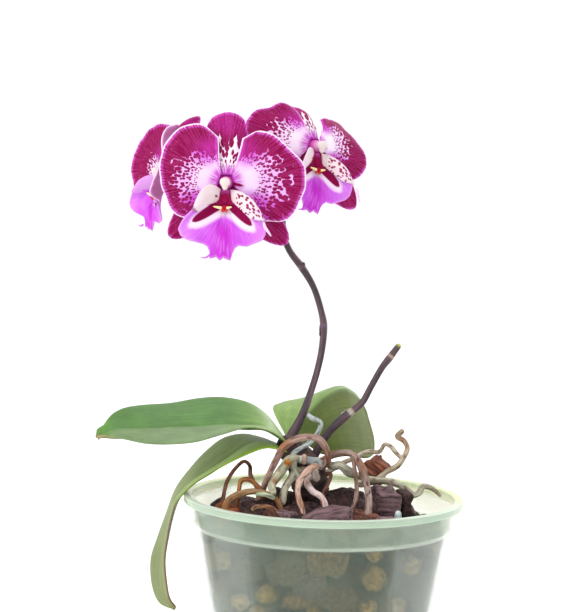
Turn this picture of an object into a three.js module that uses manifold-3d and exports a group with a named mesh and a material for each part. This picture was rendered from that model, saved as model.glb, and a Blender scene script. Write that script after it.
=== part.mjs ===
// A moth orchid in a clear green nursery pot: three blooms on one dark spike, the stub of
// an older spike, three leaves, bare air roots and a coarse bark mix with clay pebbles.
// Millimetres, +Z up. The origin is the centre of the pot's underside, -Y is the front.

import * as THREE from "three";
import { mergeVertices } from "three/addons/utils/BufferGeometryUtils.js";
import Module from "manifold-3d";

const wasm = await Module();
wasm.setup();

// ---------------------------------------------------------------- driving dimensions

const AIR = 0.3; // gap left between pieces that touch

const POT_HEIGHT = 115;
const POT_FOOT_RADIUS = 40;
const POT_RIM_RADIUS = 65;
const POT_WALL = 1.2;
const POT_FLOOR = 1.6;
const POT_SIDES = 36;
const LIP_DROP = 3.2; // height of the turned-down lip
const COLLAR_RADIUS = 61.2;
const COLLAR_TOP = 110.6;
const STEP_TOP = 102.3; // ledge where the collar meets the tapered wall
const STEP_BOTTOM = 99.8;
const WALL_TOP_RADIUS = 58.2;
const DRAIN_HOLES = 6;
const DRAIN_RADIUS = 4;
const DRAIN_CIRCLE = 26;

const BED_FLAT = 99.5; // level of the bark along the wall
const BED_CROWN = 12.5; // how far the heap rises in the middle
const BED_MARGIN = 2; // the loose core stays this far inside the wall
const GOLDEN_ANGLE = Math.PI * (3 - Math.sqrt(5)); // turn from one chip to the next
const WALL_CHIPS = 16;
const WALL_CHIP_SIZE = [6.5, 19, 15]; // inwards, along the wall and upwards
const WALL_CHIP_DEPTH = 4.6; // from the wall's outside to the middle of a chip
const LOWEST_CHIP = 9;
const HIGHEST_CHIP = 93;
const HEAP_CHIPS = 18;
const HEAP_CHIP_SIZE = [18, 13, 9];
const HEAP_REACH = 46; // chips cover the heap out to this radius
const LEAST_CORNER = 0.72; // share of its full size to which a chip's corner may shrink
const CORNER_SPAN = 0.4; // and by how much more than that it may stand out
const PEBBLE_GAP = 0.6; // air between a clay pebble and the wall
const PEBBLE_FLATNESS = 0.94;
const BED_SECTORS = 20;
const BED_LEVELS = [BED_FLAT, 70, 38, POT_FLOOR + AIR];
const ABOVE_HEAP = 140; // nothing of the mix stands higher

const LEAF_THICKNESS = 1.7;
const LEAF_THINNING = 0.35; // share of that lost towards the margins
const LEAF_SWELL = { left: 1.5, hanging: 1, right: 3 }; // how far each half of a leaf arches
const PETAL_THICKNESS = 0.9;
const PETAL_STEPS = 5;
const APRON_THICKNESS = 1;
const WING_THICKNESS = 0.9;
const FLOOR_THICKNESS = 1.2;
const PETAL_CLAW = 3.2; // tepals start this far from the middle of a bloom
const CLAW_HALF_WIDTH = 2.7;

const ROOT_SIDES = 6;
const STEM_SIDES = 8;
const COLUMN_SIDES = 10;
const END_BULGE = 0.4; // how far a limb's end stands out, in radii

const UP = new THREE.Vector3(0, 0, 1);

// ---------------------------------------------------------------- materials

function finish(colour, roughness, options = {}) {
  return new THREE.MeshStandardMaterial({ color: colour, roughness, metalness: 0, ...options });
}

const MATERIALS = {
  pot: finish(0xc4dcb8, 0.35, { transparent: true, opacity: 0.55 }),
  bark: finish(0x3f2c29, 0.9),
  barkRed: finish(0x6a3d2c, 0.85),
  barkGrey: finish(0x63505a, 0.9),
  clay: finish(0xb08a5c, 0.85),
  leafTop: finish(0x5f9a52, 0.4),
  leafDull: finish(0x758a4f, 0.5),
  leafDark: finish(0x5a7430, 0.45),
  crown: finish(0x4a3f34, 0.8),
  spike: finish(0x4a4048, 0.55),
  rootPale: finish(0xb9b3a3, 0.8),
  rootBrown: finish(0x7c5238, 0.8),
  rootPink: finish(0xb08d80, 0.8),
  crimson: finish(0xa8165c, 0.5),
  petal: finish(0xd08fc4, 0.5),
  lip: finish(0xcf5fdc, 0.5),
  column: finish(0xf0dfe6, 0.45),
};

// ---------------------------------------------------------------- closed bodies

function signedVolume(points, triangles) {
  const [a, b, c] = [new THREE.Vector3(), new THREE.Vector3(), new THREE.Vector3()];
  let sum = 0;
  for (const [i, j, k] of triangles) {
    a.copy(points[i]);
    b.copy(points[j]);
    c.copy(points[k]);
    sum += a.dot(b.cross(c));
  }
  return sum / 6;
}

// A solid from points and triangles that already close; it is turned right side out.
function bodyFrom(points, triangles) {
  const inward = signedVolume(points, triangles) < 0;
  const faces = inward ? triangles.map(([i, j, k]) => [i, k, j]) : triangles;
  const vertProperties = new Float32Array(points.flatMap((p) => [p.x, p.y, p.z]));
  const triVerts = new Uint32Array(faces.flat());
  return new wasm.Manifold(new wasm.Mesh({ numProp: 3, vertProperties, triVerts }));
}

function bodyFromGeometry(geometry) {
  const bare = geometry.clone();
  bare.deleteAttribute("normal");
  bare.deleteAttribute("uv");
  const merged = mergeVertices(bare, 1e-4);
  const vertProperties = new Float32Array(merged.attributes.position.array);
  const triVerts = new Uint32Array(merged.index.array);
  return new wasm.Manifold(new wasm.Mesh({ numProp: 3, vertProperties, triVerts }));
}

function geometryOf(body) {
  const mesh = body.getMesh();
  const geometry = new THREE.BufferGeometry();
  geometry.setAttribute("position", new THREE.BufferAttribute(mesh.vertProperties, 3));
  geometry.setIndex(new THREE.BufferAttribute(mesh.triVerts, 1));
  geometry.computeVertexNormals();
  return geometry;
}

// Cuts the others away and keeps the biggest piece that is left.
function carve(body, others) {
  const cut = others.reduce((left, other) => left.subtract(other), body);
  const pieces = cut.decompose();
  pieces.sort((p, q) => q.volume() - p.volume());
  return pieces[0];
}

function unite(bodies) {
  return bodies.reduce((sum, body) => sum.add(body));
}

function part(name, body, material) {
  const mesh = new THREE.Mesh(geometryOf(body), material);
  mesh.name = name;
  return mesh;
}

// A repeatable stream of numbers from 0 to 1.
function seeded(seed) {
  let state = seed;
  return () => {
    state = (state + 0x6d2b79f5) | 0;
    let t = Math.imul(state ^ (state >>> 15), 1 | state);
    t = (t + Math.imul(t ^ (t >>> 7), 61 | t)) ^ t;
    return ((t ^ (t >>> 14)) >>> 0) / 4294967296;
  };
}

const vec = ([x, y, z]) => new THREE.Vector3(x, y, z);
const radians = THREE.MathUtils.degToRad;

// ---------------------------------------------------------------- limbs: stems and roots

// Rings of a round limb through stations [x, y, z, radius], grown outwards by extra.
function limbRings(stations, sides, step, extra) {
  const curve = new THREE.CatmullRomCurve3(stations.map(vec), false, "centripetal");
  const count = Math.max(3, Math.round(curve.getLength() / step));
  const side = new THREE.Vector3(0.31, 0.83, 0.46);
  const rings = [];
  for (let i = 0; i <= count; i += 1) {
    const t = curve.getUtoTmapping(i / count);
    const place = t * (stations.length - 1);
    const first = Math.min(Math.floor(place), stations.length - 2);
    const radius = THREE.MathUtils.lerp(stations[first][3], stations[first + 1][3], place - first);
    const along = curve.getTangent(t);
    side.addScaledVector(along, -side.dot(along)).normalize();
    const across = new THREE.Vector3().crossVectors(along, side);
    const middle = curve.getPoint(t);
    rings.push({ middle, along, side: side.clone(), across, radius: radius + extra, sides });
  }
  return rings;
}

function ringPoints({ middle, side, across, radius, sides }) {
  const points = [];
  for (let k = 0; k < sides; k += 1) {
    const turn = (2 * Math.PI * k) / sides;
    const point = middle.clone().addScaledVector(side, radius * Math.cos(turn));
    points.push(point.addScaledVector(across, radius * Math.sin(turn)));
  }
  return points;
}

// Closes a run of equal rings with a fan at each end; the end points stand out a little.
function bodyFromRings(rings, first, last) {
  const sides = rings[0].length;
  const points = [...rings.flat(), first, last];
  const triangles = [];
  for (let i = 0; i + 1 < rings.length; i += 1) {
    for (let k = 0; k < sides; k += 1) {
      const a = i * sides + k;
      const b = i * sides + ((k + 1) % sides);
      triangles.push([a, b, b + sides], [a, b + sides, a + sides]);
    }
  }
  const end = (rings.length - 1) * sides;
  for (let k = 0; k < sides; k += 1) {
    const next = (k + 1) % sides;
    triangles.push([next, k, points.length - 2], [end + k, end + next, points.length - 1]);
  }
  return bodyFrom(points, triangles);
}

function limb(stations, { sides = ROOT_SIDES, step = 3.6, extra = 0 } = {}) {
  const rings = limbRings(stations, sides, step, extra);
  const [first, last] = [rings[0], rings[rings.length - 1]];
  const start = first.middle.clone().addScaledVector(first.along, -END_BULGE * first.radius - extra);
  const end = last.middle.clone().addScaledVector(last.along, END_BULGE * last.radius + extra);
  return bodyFromRings(rings.map(ringPoints), start, end);
}

// ---------------------------------------------------------------- blades: leaves and tepals

// A thin blade about the middle surface place(u, v): u runs from its base at 0 to its tip
// at 1, v across it from -1 to 1. Both faces are split into triangles alike.
function blade(place, thickness, steps, strips) {
  const front = [];
  const back = [];
  const reach = 1e-3;
  for (let i = 0; i <= steps; i += 1) {
    for (let j = 0; j <= strips; j += 1) {
      const u = i / steps;
      const v = (2 * j) / strips - 1;
      const alongU = place(u + reach, v).sub(place(u - reach, v));
      const alongV = place(u, v + reach).sub(place(u, v - reach));
      const normal = alongU.cross(alongV).normalize();
      const half = thickness(u, v) / 2;
      front.push(place(u, v).addScaledVector(normal, half));
      back.push(place(u, v).addScaledVector(normal, -half));
    }
  }
  return bodyFrom([...front, ...back], bladeTriangles(steps, strips));
}

function bladeTriangles(steps, strips) {
  const row = strips + 1;
  const behind = (steps + 1) * row;
  const triangles = [];
  for (let i = 0; i < steps; i += 1) {
    for (let j = 0; j < strips; j += 1) {
      const a = i * row + j;
      const b = a + row;
      const [c, d] = [behind + a, behind + b];
      triangles.push([a, b, b + 1], [a, b + 1, a + 1]);
      triangles.push([c, d + 1, d], [c, c + 1, d + 1]);
    }
  }
  const edge = bladeEdge(steps, strips);
  edge.forEach((a, k) => {
    const b = edge[(k + 1) % edge.length];
    triangles.push([a, b, behind + b], [a, behind + b, behind + a]);
  });
  return triangles;
}

// The rim of a blade's grid, walked once round against the front face's direction.
function bladeEdge(steps, strips) {
  const row = strips + 1;
  const edge = [];
  for (let j = 0; j < strips; j += 1) edge.push(j);
  for (let i = 0; i < steps; i += 1) edge.push(i * row + strips);
  for (let j = strips; j > 0; j -= 1) edge.push(steps * row + j);
  for (let i = steps; i > 0; i -= 1) edge.push(i * row);
  return edge;
}

// Smooth curve through a list of equally spaced values.
function through(values, t) {
  const place = THREE.MathUtils.clamp(t, 0, 1) * (values.length - 1);
  const i = Math.min(Math.floor(place), values.length - 2);
  const f = place - i;
  const at = (k) => values[THREE.MathUtils.clamp(k, 0, values.length - 1)];
  const [p, q, r, s] = [at(i - 1), at(i), at(i + 1), at(i + 2)];
  return q + 0.5 * f * (r - p + f * (2 * p - 5 * q + 4 * r - s + f * (3 * (q - r) + s - p)));
}

// ---------------------------------------------------------------- pot

function potWallRadius(z) {
  return POT_FOOT_RADIUS + ((WALL_TOP_RADIUS - POT_FOOT_RADIUS) * (z - 1)) / (STEP_BOTTOM - 1);
}

function lathe(profile) {
  const points = profile.map(([r, z]) => new THREE.Vector2(r, z));
  return bodyFromGeometry(new THREE.LatheGeometry(points, POT_SIDES).rotateX(Math.PI / 2));
}

function potInside(clearance) {
  const inner = (z) => potWallRadius(z) - POT_WALL - clearance;
  return [
    [inner(POT_FLOOR), POT_FLOOR + clearance],
    [inner(STEP_BOTTOM), STEP_BOTTOM],
    [COLLAR_RADIUS - POT_WALL - 0.9 - clearance, STEP_TOP + 0.7],
    [COLLAR_RADIUS - POT_WALL - clearance, COLLAR_TOP],
  ];
}

function drainHoles() {
  const holes = [];
  for (let k = 0; k < DRAIN_HOLES; k += 1) {
    const turn = (2 * Math.PI * k) / DRAIN_HOLES;
    const hole = new THREE.CylinderGeometry(DRAIN_RADIUS, DRAIN_RADIUS, 4 * POT_FLOOR, 10);
    hole.rotateX(Math.PI / 2);
    hole.translate(DRAIN_CIRCLE * Math.cos(turn), DRAIN_CIRCLE * Math.sin(turn), POT_FLOOR);
    holes.push(bodyFromGeometry(hole));
  }
  return holes;
}

// Thin tapered wall, a ledge, a collar above it and a lip turned out and down.
function pot() {
  const skirt = POT_RIM_RADIUS - POT_WALL;
  const lipFoot = POT_HEIGHT - LIP_DROP;
  const outside = [
    [0, 0],
    [POT_FOOT_RADIUS - 1, 0],
    [POT_FOOT_RADIUS, 1],
    [WALL_TOP_RADIUS, STEP_BOTTOM],
    [COLLAR_RADIUS - 0.9, STEP_TOP],
    [COLLAR_RADIUS, COLLAR_TOP],
    [COLLAR_RADIUS + 0.4, POT_HEIGHT - POT_WALL],
    [skirt, POT_HEIGHT - POT_WALL],
    [skirt, lipFoot],
    [POT_RIM_RADIUS, lipFoot],
    [POT_RIM_RADIUS, POT_HEIGHT - 0.9],
    [POT_RIM_RADIUS - 0.9, POT_HEIGHT],
    [COLLAR_RADIUS, POT_HEIGHT],
  ];
  const inside = potInside(0).reverse();
  return carve(lathe([...outside, ...inside, [0, POT_FLOOR]]), drainHoles());
}

// ---------------------------------------------------------------- bark mix

// Height of the heap: level at the wall, a broad hump that leans to the front.
function bedHeight(x, y) {
  const across = (x + 6) / 41;
  const deep = (y + 14) / 42;
  return BED_FLAT + BED_CROWN * Math.exp(-(across ** 4) - deep ** 4);
}

function bedCore() {
  const rings = [];
  const ring = (radius, height) => {
    const points = [];
    for (let k = 0; k < BED_SECTORS; k += 1) {
      const turn = (2 * Math.PI * k) / BED_SECTORS;
      const [x, y] = [radius * Math.cos(turn), radius * Math.sin(turn)];
      points.push(new THREE.Vector3(x, y, height(x, y)));
    }
    rings.push(points);
  };
  const inner = (z) => potWallRadius(z) - POT_WALL - BED_MARGIN;
  for (const share of [0.3, 0.6, 0.85]) ring(share * inner(BED_FLAT), bedHeight);
  for (const z of BED_LEVELS) ring(inner(z), () => z);
  const top = new THREE.Vector3(0, 0, bedHeight(0, 0));
  return bodyFromRings(rings, top, new THREE.Vector3(0, 0, POT_FLOOR + AIR));
}

const CHIP_QUADS = [
  [0, 2, 3, 1],
  [4, 5, 7, 6],
  [0, 1, 5, 4],
  [2, 6, 7, 3],
  [0, 4, 6, 2],
  [1, 3, 7, 5],
];

// A broken chip: a box with each corner pushed in or out, turned and set in place.
function chip(centre, size, turn, random, extra = 0) {
  const points = [];
  for (let corner = 0; corner < 8; corner += 1) {
    const signs = [corner & 1 ? 1 : -1, corner & 2 ? 1 : -1, corner & 4 ? 1 : -1];
    const share = () => LEAST_CORNER + CORNER_SPAN * random();
    const point = signs.map((sign, axis) => sign * (size[axis] / 2) * share());
    const grown = vec(point.map((value, axis) => value + signs[axis] * extra));
    points.push(grown.applyEuler(new THREE.Euler(...turn)).add(vec(centre)));
  }
  return bodyFrom(points, CHIP_QUADS.flatMap(([a, b, c, d]) => [[a, b, c], [a, c, d]]));
}

function wallChips(random) {
  const chips = [];
  for (let k = 0; k < WALL_CHIPS; k += 1) {
    const turn = GOLDEN_ANGLE * k;
    const z = THREE.MathUtils.lerp(LOWEST_CHIP, HIGHEST_CHIP, (k + 0.5) / WALL_CHIPS);
    const radius = potWallRadius(z) - POT_WALL - WALL_CHIP_DEPTH;
    const centre = [radius * Math.cos(turn), radius * Math.sin(turn), z];
    chips.push(chip(centre, WALL_CHIP_SIZE, [0, 0.3 * random(), turn], random));
  }
  return chips;
}

function heapChips(random) {
  const chips = [];
  for (let k = 0; k < HEAP_CHIPS; k += 1) {
    const turn = GOLDEN_ANGLE * k;
    const radius = HEAP_REACH * Math.sqrt((k + 0.5) / HEAP_CHIPS);
    const [x, y] = [radius * Math.cos(turn) - 2, radius * Math.sin(turn) - 4];
    const centre = [x, y, bedHeight(x, y) - 1 + 2 * random()];
    const tip = () => 0.9 * random() - 0.4;
    chips.push(chip(centre, HEAP_CHIP_SIZE, [tip(), tip(), 6 * random()], random));
  }
  return chips;
}

// Single chips that lie on the heap: name, centre, size, turn and colour.
const LOOSE_CHIPS = [
  ["bark_chip_leaning", [24, 5.5, 126.6], [11, 9, 12], [0.2, 0.6, -0.3], "barkRed"],
  ["bark_chip_right", [27.5, -15, 115.2], [13, 13, 14], [0.1, 0.1, 0.35], "barkGrey"],
  ["bark_chip_front", [1, -45, 110.4], [22, 12, 12], [0.3, -0.15, 0.1], "barkGrey"],
  ["bark_chip_round", [37, -6, 113.5], [7, 9, 12], [0.2, 0.1, 0.5], "bark"],
  ["bark_chip_left", [-41, -27, 109.6], [17, 10, 7], [0.1, 0.25, -0.5], "barkRed"],
];

// Clay pebbles that show through the wall: bearing from the front in degrees, height, radius.
const CLAY_PEBBLES = [
  [27, 86, 6.2],
  [51, 90, 4.4],
  [-31, 77, 4.6],
  [-57, 89, 4.2],
  [25, 73, 4.4],
  [45, 71, 4.6],
  [150, 80, 5.4],
];

function pebbleCentre([bearing, z, radius]) {
  const turn = radians(bearing - 90);
  const distance = potWallRadius(z) - POT_WALL - PEBBLE_GAP - radius;
  return [distance * Math.cos(turn), distance * Math.sin(turn), z];
}

function pebble(centre, radius, extra = 0) {
  const ball = new THREE.IcosahedronGeometry(radius + extra, 1);
  return bodyFromGeometry(ball.scale(1, 1, PEBBLE_FLATNESS).translate(...centre));
}

// ---------------------------------------------------------------- stem, spikes and roots

// The short trunk that everything grows from: [x, y, z, radius] from the bark to the crown.
const STEM = [
  [-5, 3, 110, 7.5],
  [-6, 1, 119, 8.5],
  [-9, 0, 128, 8],
  [-14, 0.5, 134, 6.5],
  [-18, 1, 138.5, 5],
  [-20.5, 1, 142, 3],
];

const SPIKE = [
  [-18, -1, 137, 2.5],
  [-15.5, -1.5, 143, 2.4],
  [-11, -1, 152, 1.9],
  [-7.3, 1.5, 162.5, 1.6],
  [-4.3, 4, 173, 1.55],
  [-2.3, 6, 183.5, 1.55],
  [-1.8, 7, 194, 1.7],
  [-3, 8, 200, 1.45],
  [-7, 8.5, 211.5, 1.45],
  [-13, 8, 221, 1.75],
  [-17.8, 8, 227, 1.5],
  [-20.4, 9.5, 232, 1.45],
  [-22, 12.5, 240, 1.4],
  [-22.5, 17, 248, 1.4],
  [-27, 22, 257, 1.4],
  [-36, 24, 265, 1.4],
  [-48, 21, 269, 1.3],
  [-60, 17, 268, 1.3],
  [-67, 16.5, 265, 1.2],
];
const SPIKE_BRACT = [[-13.2, 7.4, 219.6, 1.4], [-12.3, 7.1, 221.6, 1.25], [-11.9, 6.9, 223.2, 0.7]];
const STALK_RADIUS = 1.1;
const FRONT_STALK = [[-46, 21, 269, 1.3], [-49, 12, 267, 1.2], [-49, -4, 262.5, STALK_RADIUS]];
const RIGHT_STALK = [[-22, 17.5, 248, 1.4], [-20, 26, 258, 1.2], [-16, 28, 270, STALK_RADIUS]];

const CUT_SPIKE = [
  [-6, 4, 130, 2.1],
  [-2, 4, 138, 1.9],
  [3, 4, 145.5, 1.8],
  [8, 4, 150.5, 2.1],
  [12, 4, 154, 1.7],
  [17, 4.5, 158.5, 1.6],
  [21, 5, 166, 1.5],
  [26, 6, 175, 1.5],
  [29, 6.5, 179, 1.7],
  [34, 7, 186, 1.3],
];

// Air roots in the order in which they give way: name, colour, stations.
const ROOTS = [
  ["root_arch", "rootPink", [
    [-33, -12, 106, 1.7], [-29, -14, 117, 1.6], [-26, -17, 125.5, 1.5], [-22.5, -20, 134, 1.6],
    [-18.5, -21, 141, 1.7], [-11, -21, 145, 1.6], [-3.5, -20, 144.5, 1.6], [0.5, -17, 139, 1.6],
    [1.2, -13, 133.5, 1.6], [-2, -8, 129, 1.6],
  ]],
  ["root_drooping", "rootBrown", [
    [-3, -5, 131, 1.6], [2, -9, 134.5, 1.6], [6, -11, 136.5, 1.6], [12, -13, 137, 1.6],
    [15.5, -16, 133.5, 1.8], [18.3, -20, 127, 1.9], [20, -24, 120.5, 1.6], [19.8, -30, 114, 1.7],
    [19, -36, 107, 1.7],
  ]],
  ["root_strand", "rootBrown", [
    [12.4, -14.8, 136.2, 0.9], [13.2, -17, 132.9, 0.9], [14, -19.5, 128, 1], [14.6, -22.5, 123, 1],
    [14.4, -25.5, 119, 1], [13, -29, 114.5, 1], [11.5, -33, 108, 1],
  ]],
  ["root_long", "rootPale", [
    [-6, -4, 131, 1.9], [-1, -7, 132, 1.9], [4, -10, 130.5, 1.9], [7, -13, 131.5, 1.9],
    [10.5, -12, 129, 2.2], [14, -8, 126.5, 1.7], [21, -5, 124, 1.5], [29, -3, 123, 1.5],
    [34, -1, 121.5, 1.6], [38, 2, 119, 1.5], [42.5, 4, 115.5, 1.4], [45, 5, 116.5, 1.3],
    [47, 6, 119.5, 1.3], [51, 7, 118.5, 1.2], [55.5, 8, 114.5, 0.8],
  ]],
  ["root_curl", "rootPale", [
    [-4, 3, 123.5, 1.4], [3, 4.5, 126, 1.3], [9, 6, 129.5, 1.2], [14, 8, 131.5, 1.1],
    [20.5, 14, 134, 1.1], [26, 14, 134, 1], [28.5, 11, 138, 1], [31, 9, 137.5, 1],
    [34, 7, 134.5, 1], [37.5, 5, 132, 1],
  ]],
  ["root_hook", "rootPale", [
    [16, 1, 120, 1.4], [24, 0, 122.5, 1.4], [29, -1, 127, 1.4], [34, -1, 130, 1.4],
    [37, 0, 134, 1.3], [38.5, 2, 138, 1.3], [37, 4, 141, 1.2], [34, 4, 143, 1.3],
    [36.5, 2, 146.5, 1.2],
  ]],
  ["root_thin_loop", "rootBrown", [
    [-47.5, -19, 102, 1], [-46, -16, 116.5, 0.9], [-44.5, -14, 123, 0.9], [-41, -11, 128.5, 0.9],
    [-37, -9, 131.5, 0.9], [-34.5, -8, 129.5, 0.9], [-34, -8, 125, 0.9], [-32, -8, 121, 1],
    [-26, -6, 113, 1],
  ]],
  ["root_orange", "rootBrown", [
    [-40, -22, 105, 1.1], [-39, -22, 120, 1], [-38, -20.5, 124.5, 1], [-35, -19, 124.8, 1],
    [-32, -18, 123, 1], [-29, -19, 119.5, 1.2], [-27, -20, 110, 1.2],
  ]],
  ["root_flat", "rootBrown", [
    [-46.5, -31, 103, 1.6], [-44, -28, 115.5, 1.5], [-40, -27, 118.5, 1.5], [-36, -26, 120, 1.4],
    [-31, -25, 120.5, 1.4], [-27, -24.5, 119.5, 1.4], [-22, -25, 117, 1.4], [-18, -26, 108, 1.4],
  ]],
  ["root_pale_front", "rootPale", [
    [-11, -7, 133, 2], [-16, -12, 133.5, 2], [-19, -16, 130, 2.1], [-22, -19.5, 126, 2.1],
    [-24, -22, 123, 1.9], [-23, -27, 119.5, 1.4],
  ]],
  ["root_pale_side", "rootPale", [
    [-8, -6, 128, 1.9], [-13, -11, 127.5, 1.9], [-15.5, -15, 124.5, 1.9], [-18, -19, 121, 1.8],
    [-19, -23, 114, 1.5],
  ]],
  ["root_pink_hook", "rootPink", [
    [-3, -22, 132.5, 2], [-7, -24.5, 131, 1.6], [-11, -28, 127, 1.4], [-12.3, -30.5, 123.5, 1.3],
    [-11.6, -33.5, 119, 1.2], [-10, -36.5, 114.5, 1.2], [-9.4, -39, 108.5, 1.2],
  ]],
  ["root_pink_front", "rootPink", [
    [-4, -7, 127, 1.6], [-4.5, -15, 128, 1.5], [-8, -22, 125, 1.5], [-5.5, -27, 121.5, 1.5],
    [-2, -30, 120, 1.4], [0, -33, 117.5, 1.4], [0.8, -36, 113.5, 1.3], [1.8, -38.5, 107.5, 1.3],
  ]],
  ["root_silver", "rootPale", [
    [-12, -5, 131, 1.5], [-14.5, -5.5, 134.5, 1.3], [-12, -5, 137, 1.2], [-8, -4, 139.5, 1.2],
    [-5, -3.5, 142.5, 1.1], [-3, -3, 145.5, 1.1], [-2, -3, 149, 1.1], [-4, -4, 151, 1.2],
    [-6, -4, 151.5, 1.2], [-8.5, -4.5, 153.5, 0.9],
  ]],
  ["root_bent_front", "rootBrown", [
    [-34, -31, 107, 1.1], [-31.5, -34.5, 114.5, 1], [-28.5, -36.5, 115.6, 1],
    [-25, -36.8, 115.6, 1], [-22, -37.5, 114, 1], [-20.8, -39.5, 110.5, 1], [-20.8, -41, 104, 1],
  ]],
  ["root_short_brown", "rootBrown", [
    [0, -6, 126, 1.1], [3, -9.5, 126.5, 1], [2, -12, 123, 0.9], [0, -14, 119, 0.9],
    [-1, -15, 112, 0.9],
  ]],
];

// ---------------------------------------------------------------- leaves

// Each row across a leaf: far margin, midrib, near margin. Rows run from crown to tip.
const LEAF_LEFT = [
  [[-19, 4, 141], [-18, 0, 140], [-17, -4, 139.5]],
  [[-27, 15, 150], [-27.5, 1, 145.5], [-25.5, -11, 146]],
  [[-35.5, 19, 155], [-37, 1, 146], [-36, -17, 148.5]],
  [[-47.5, 21, 157], [-48, 0, 146.5], [-47.5, -21, 145.5]],
  [[-59.5, 21, 156.5], [-59, 0, 145.5], [-59, -24, 142]],
  [[-73, 18, 154.5], [-71, -1, 145], [-70.5, -24, 140.5]],
  [[-86.5, 15, 153.5], [-83, -1, 144], [-82, -19, 140]],
  [[-95.5, 9, 152], [-94, -1, 143.5], [-93, -12, 141]],
  [[-102, 3, 147.5], [-101, -1, 142], [-100, -6, 140]],
  [[-106, -1, 142.5], [-106.5, -2, 140.5], [-105, -4, 139.5]],
];

const LEAF_HANGING = [
  [[-19, 3, 137], [-18, 0, 136], [-17, -5, 135.5]],
  [[-29.5, 10, 140], [-27.5, 0, 139], [-26.5, -9, 138]],
  [[-38.5, 14, 141], [-35.5, 0, 137.5], [-36.5, -13, 135]],
  [[-47.5, 16, 138.5], [-44.5, 0, 131], [-47, -15, 130]],
  [[-55.5, 17, 132], [-53, 1, 125], [-55, -14, 125]],
  [[-62.5, 17, 124], [-61, 2, 119.5], [-62, -11, 119]],
  [[-69.5, 17, 114], [-67.5, 3, 112.5], [-68, -8, 111]],
  [[-74, 18, 101.5], [-70.5, 4, 104], [-70, -6, 104]],
  [[-78, 19, 89.5], [-72.5, 4, 94], [-72, -6, 93.5]],
  [[-81, 19, 78.5], [-74, 4, 83.5], [-73, -5, 82.5]],
  [[-80, 17, 66.5], [-74, 4, 72], [-71.5, -4, 70]],
  [[-76, 12, 60], [-72, 3, 64], [-70, -2, 63.5]],
  [[-68.5, 3, 58.5], [-68, 1, 59], [-67.5, -1, 60.5]],
];

const LEAF_RIGHT = [
  [[-18, 7, 141], [-15.5, 4, 140], [-13, 1, 138.5]],
  [[-24.5, 21, 152], [-13.5, 10, 145], [-7.5, 7, 137]],
  [[-20.5, 31, 154], [-9, 17, 150.5], [-1, 10, 133]],
  [[-11.5, 41, 154.5], [-3, 27, 156], [7, 14, 132]],
  [[-2, 49, 156.5], [3, 36, 159.5], [14, 20, 130.5]],
  [[5.5, 53, 158.5], [10, 44, 160], [19.5, 27, 128.5]],
  [[12, 54, 158], [15.5, 49, 155.5], [23, 34, 128.5]],
  [[16, 54, 155.5], [18.5, 51, 151], [25, 40, 130]],
  [[18.5, 53, 152.5], [21, 51, 147.5], [25, 46, 135]],
];

// Point on a leaf: rows joined by smooth curves, each half swelling a little off its chord.
function leafPlace(rows, swell) {
  const column = (side, axis) => rows.map((row) => row[side][axis]);
  const curves = [0, 1, 2].map((side) => [0, 1, 2].map((axis) => column(side, axis)));
  const at = (side, u) => vec(curves[side].map((values) => through(values, u)));
  return (u, v) => {
    const rib = at(1, u);
    const margin = at(v < 0 ? 0 : 2, u);
    const share = Math.abs(v);
    const lift = swell * share * (1 - share) * Math.sin(Math.PI * THREE.MathUtils.clamp(u, 0, 1));
    return rib.lerp(margin, share).addScaledVector(UP, lift);
  };
}

function leaf(rows, swell, extra = 0) {
  const thickness = (u, v) => LEAF_THICKNESS * (1 - LEAF_THINNING * v * v) + 2 * extra;
  return blade(leafPlace(rows, swell), thickness, 15, 6);
}

// ---------------------------------------------------------------- blooms

// A bloom's own frame: x to its right, y up, z out of its face, the middle at the origin.
// A tepal is a fan of rays from its claw. Its outline is the list of ray lengths from one
// side to the other. It leaves the claw leaning forwards by lean degrees, and each ray then
// bends on by the degrees in its own list, so a negative bend curls it backwards.
function tepalPlace({ bearing, spread, reach, depth, lean, bend, wave = 0 }) {
  const middle = radians(bearing);
  const half = radians(spread);
  const start = radians(lean);
  const [cos, sin] = [Math.cos(middle), Math.sin(middle)];
  return (u, v) => {
    const share = (v + 1) / 2;
    const turn = radians(through(bend, share)) || 1e-3;
    const arc = through(reach, share) / turn;
    const out = arc * (Math.sin(start + turn * u) - Math.sin(start));
    const rise = arc * (Math.cos(start) - Math.cos(start + turn * u));
    const along = out * Math.cos(half * v);
    const across = out * Math.sin(half * v) + CLAW_HALF_WIDTH * v * (1 - u) ** 2;
    const x = (PETAL_CLAW + along) * cos - across * sin;
    const y = (PETAL_CLAW + along) * sin + across * cos;
    return new THREE.Vector3(x, y, depth + rise + wave * u ** 3 * Math.sin(7 * v + 1));
  };
}

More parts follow.
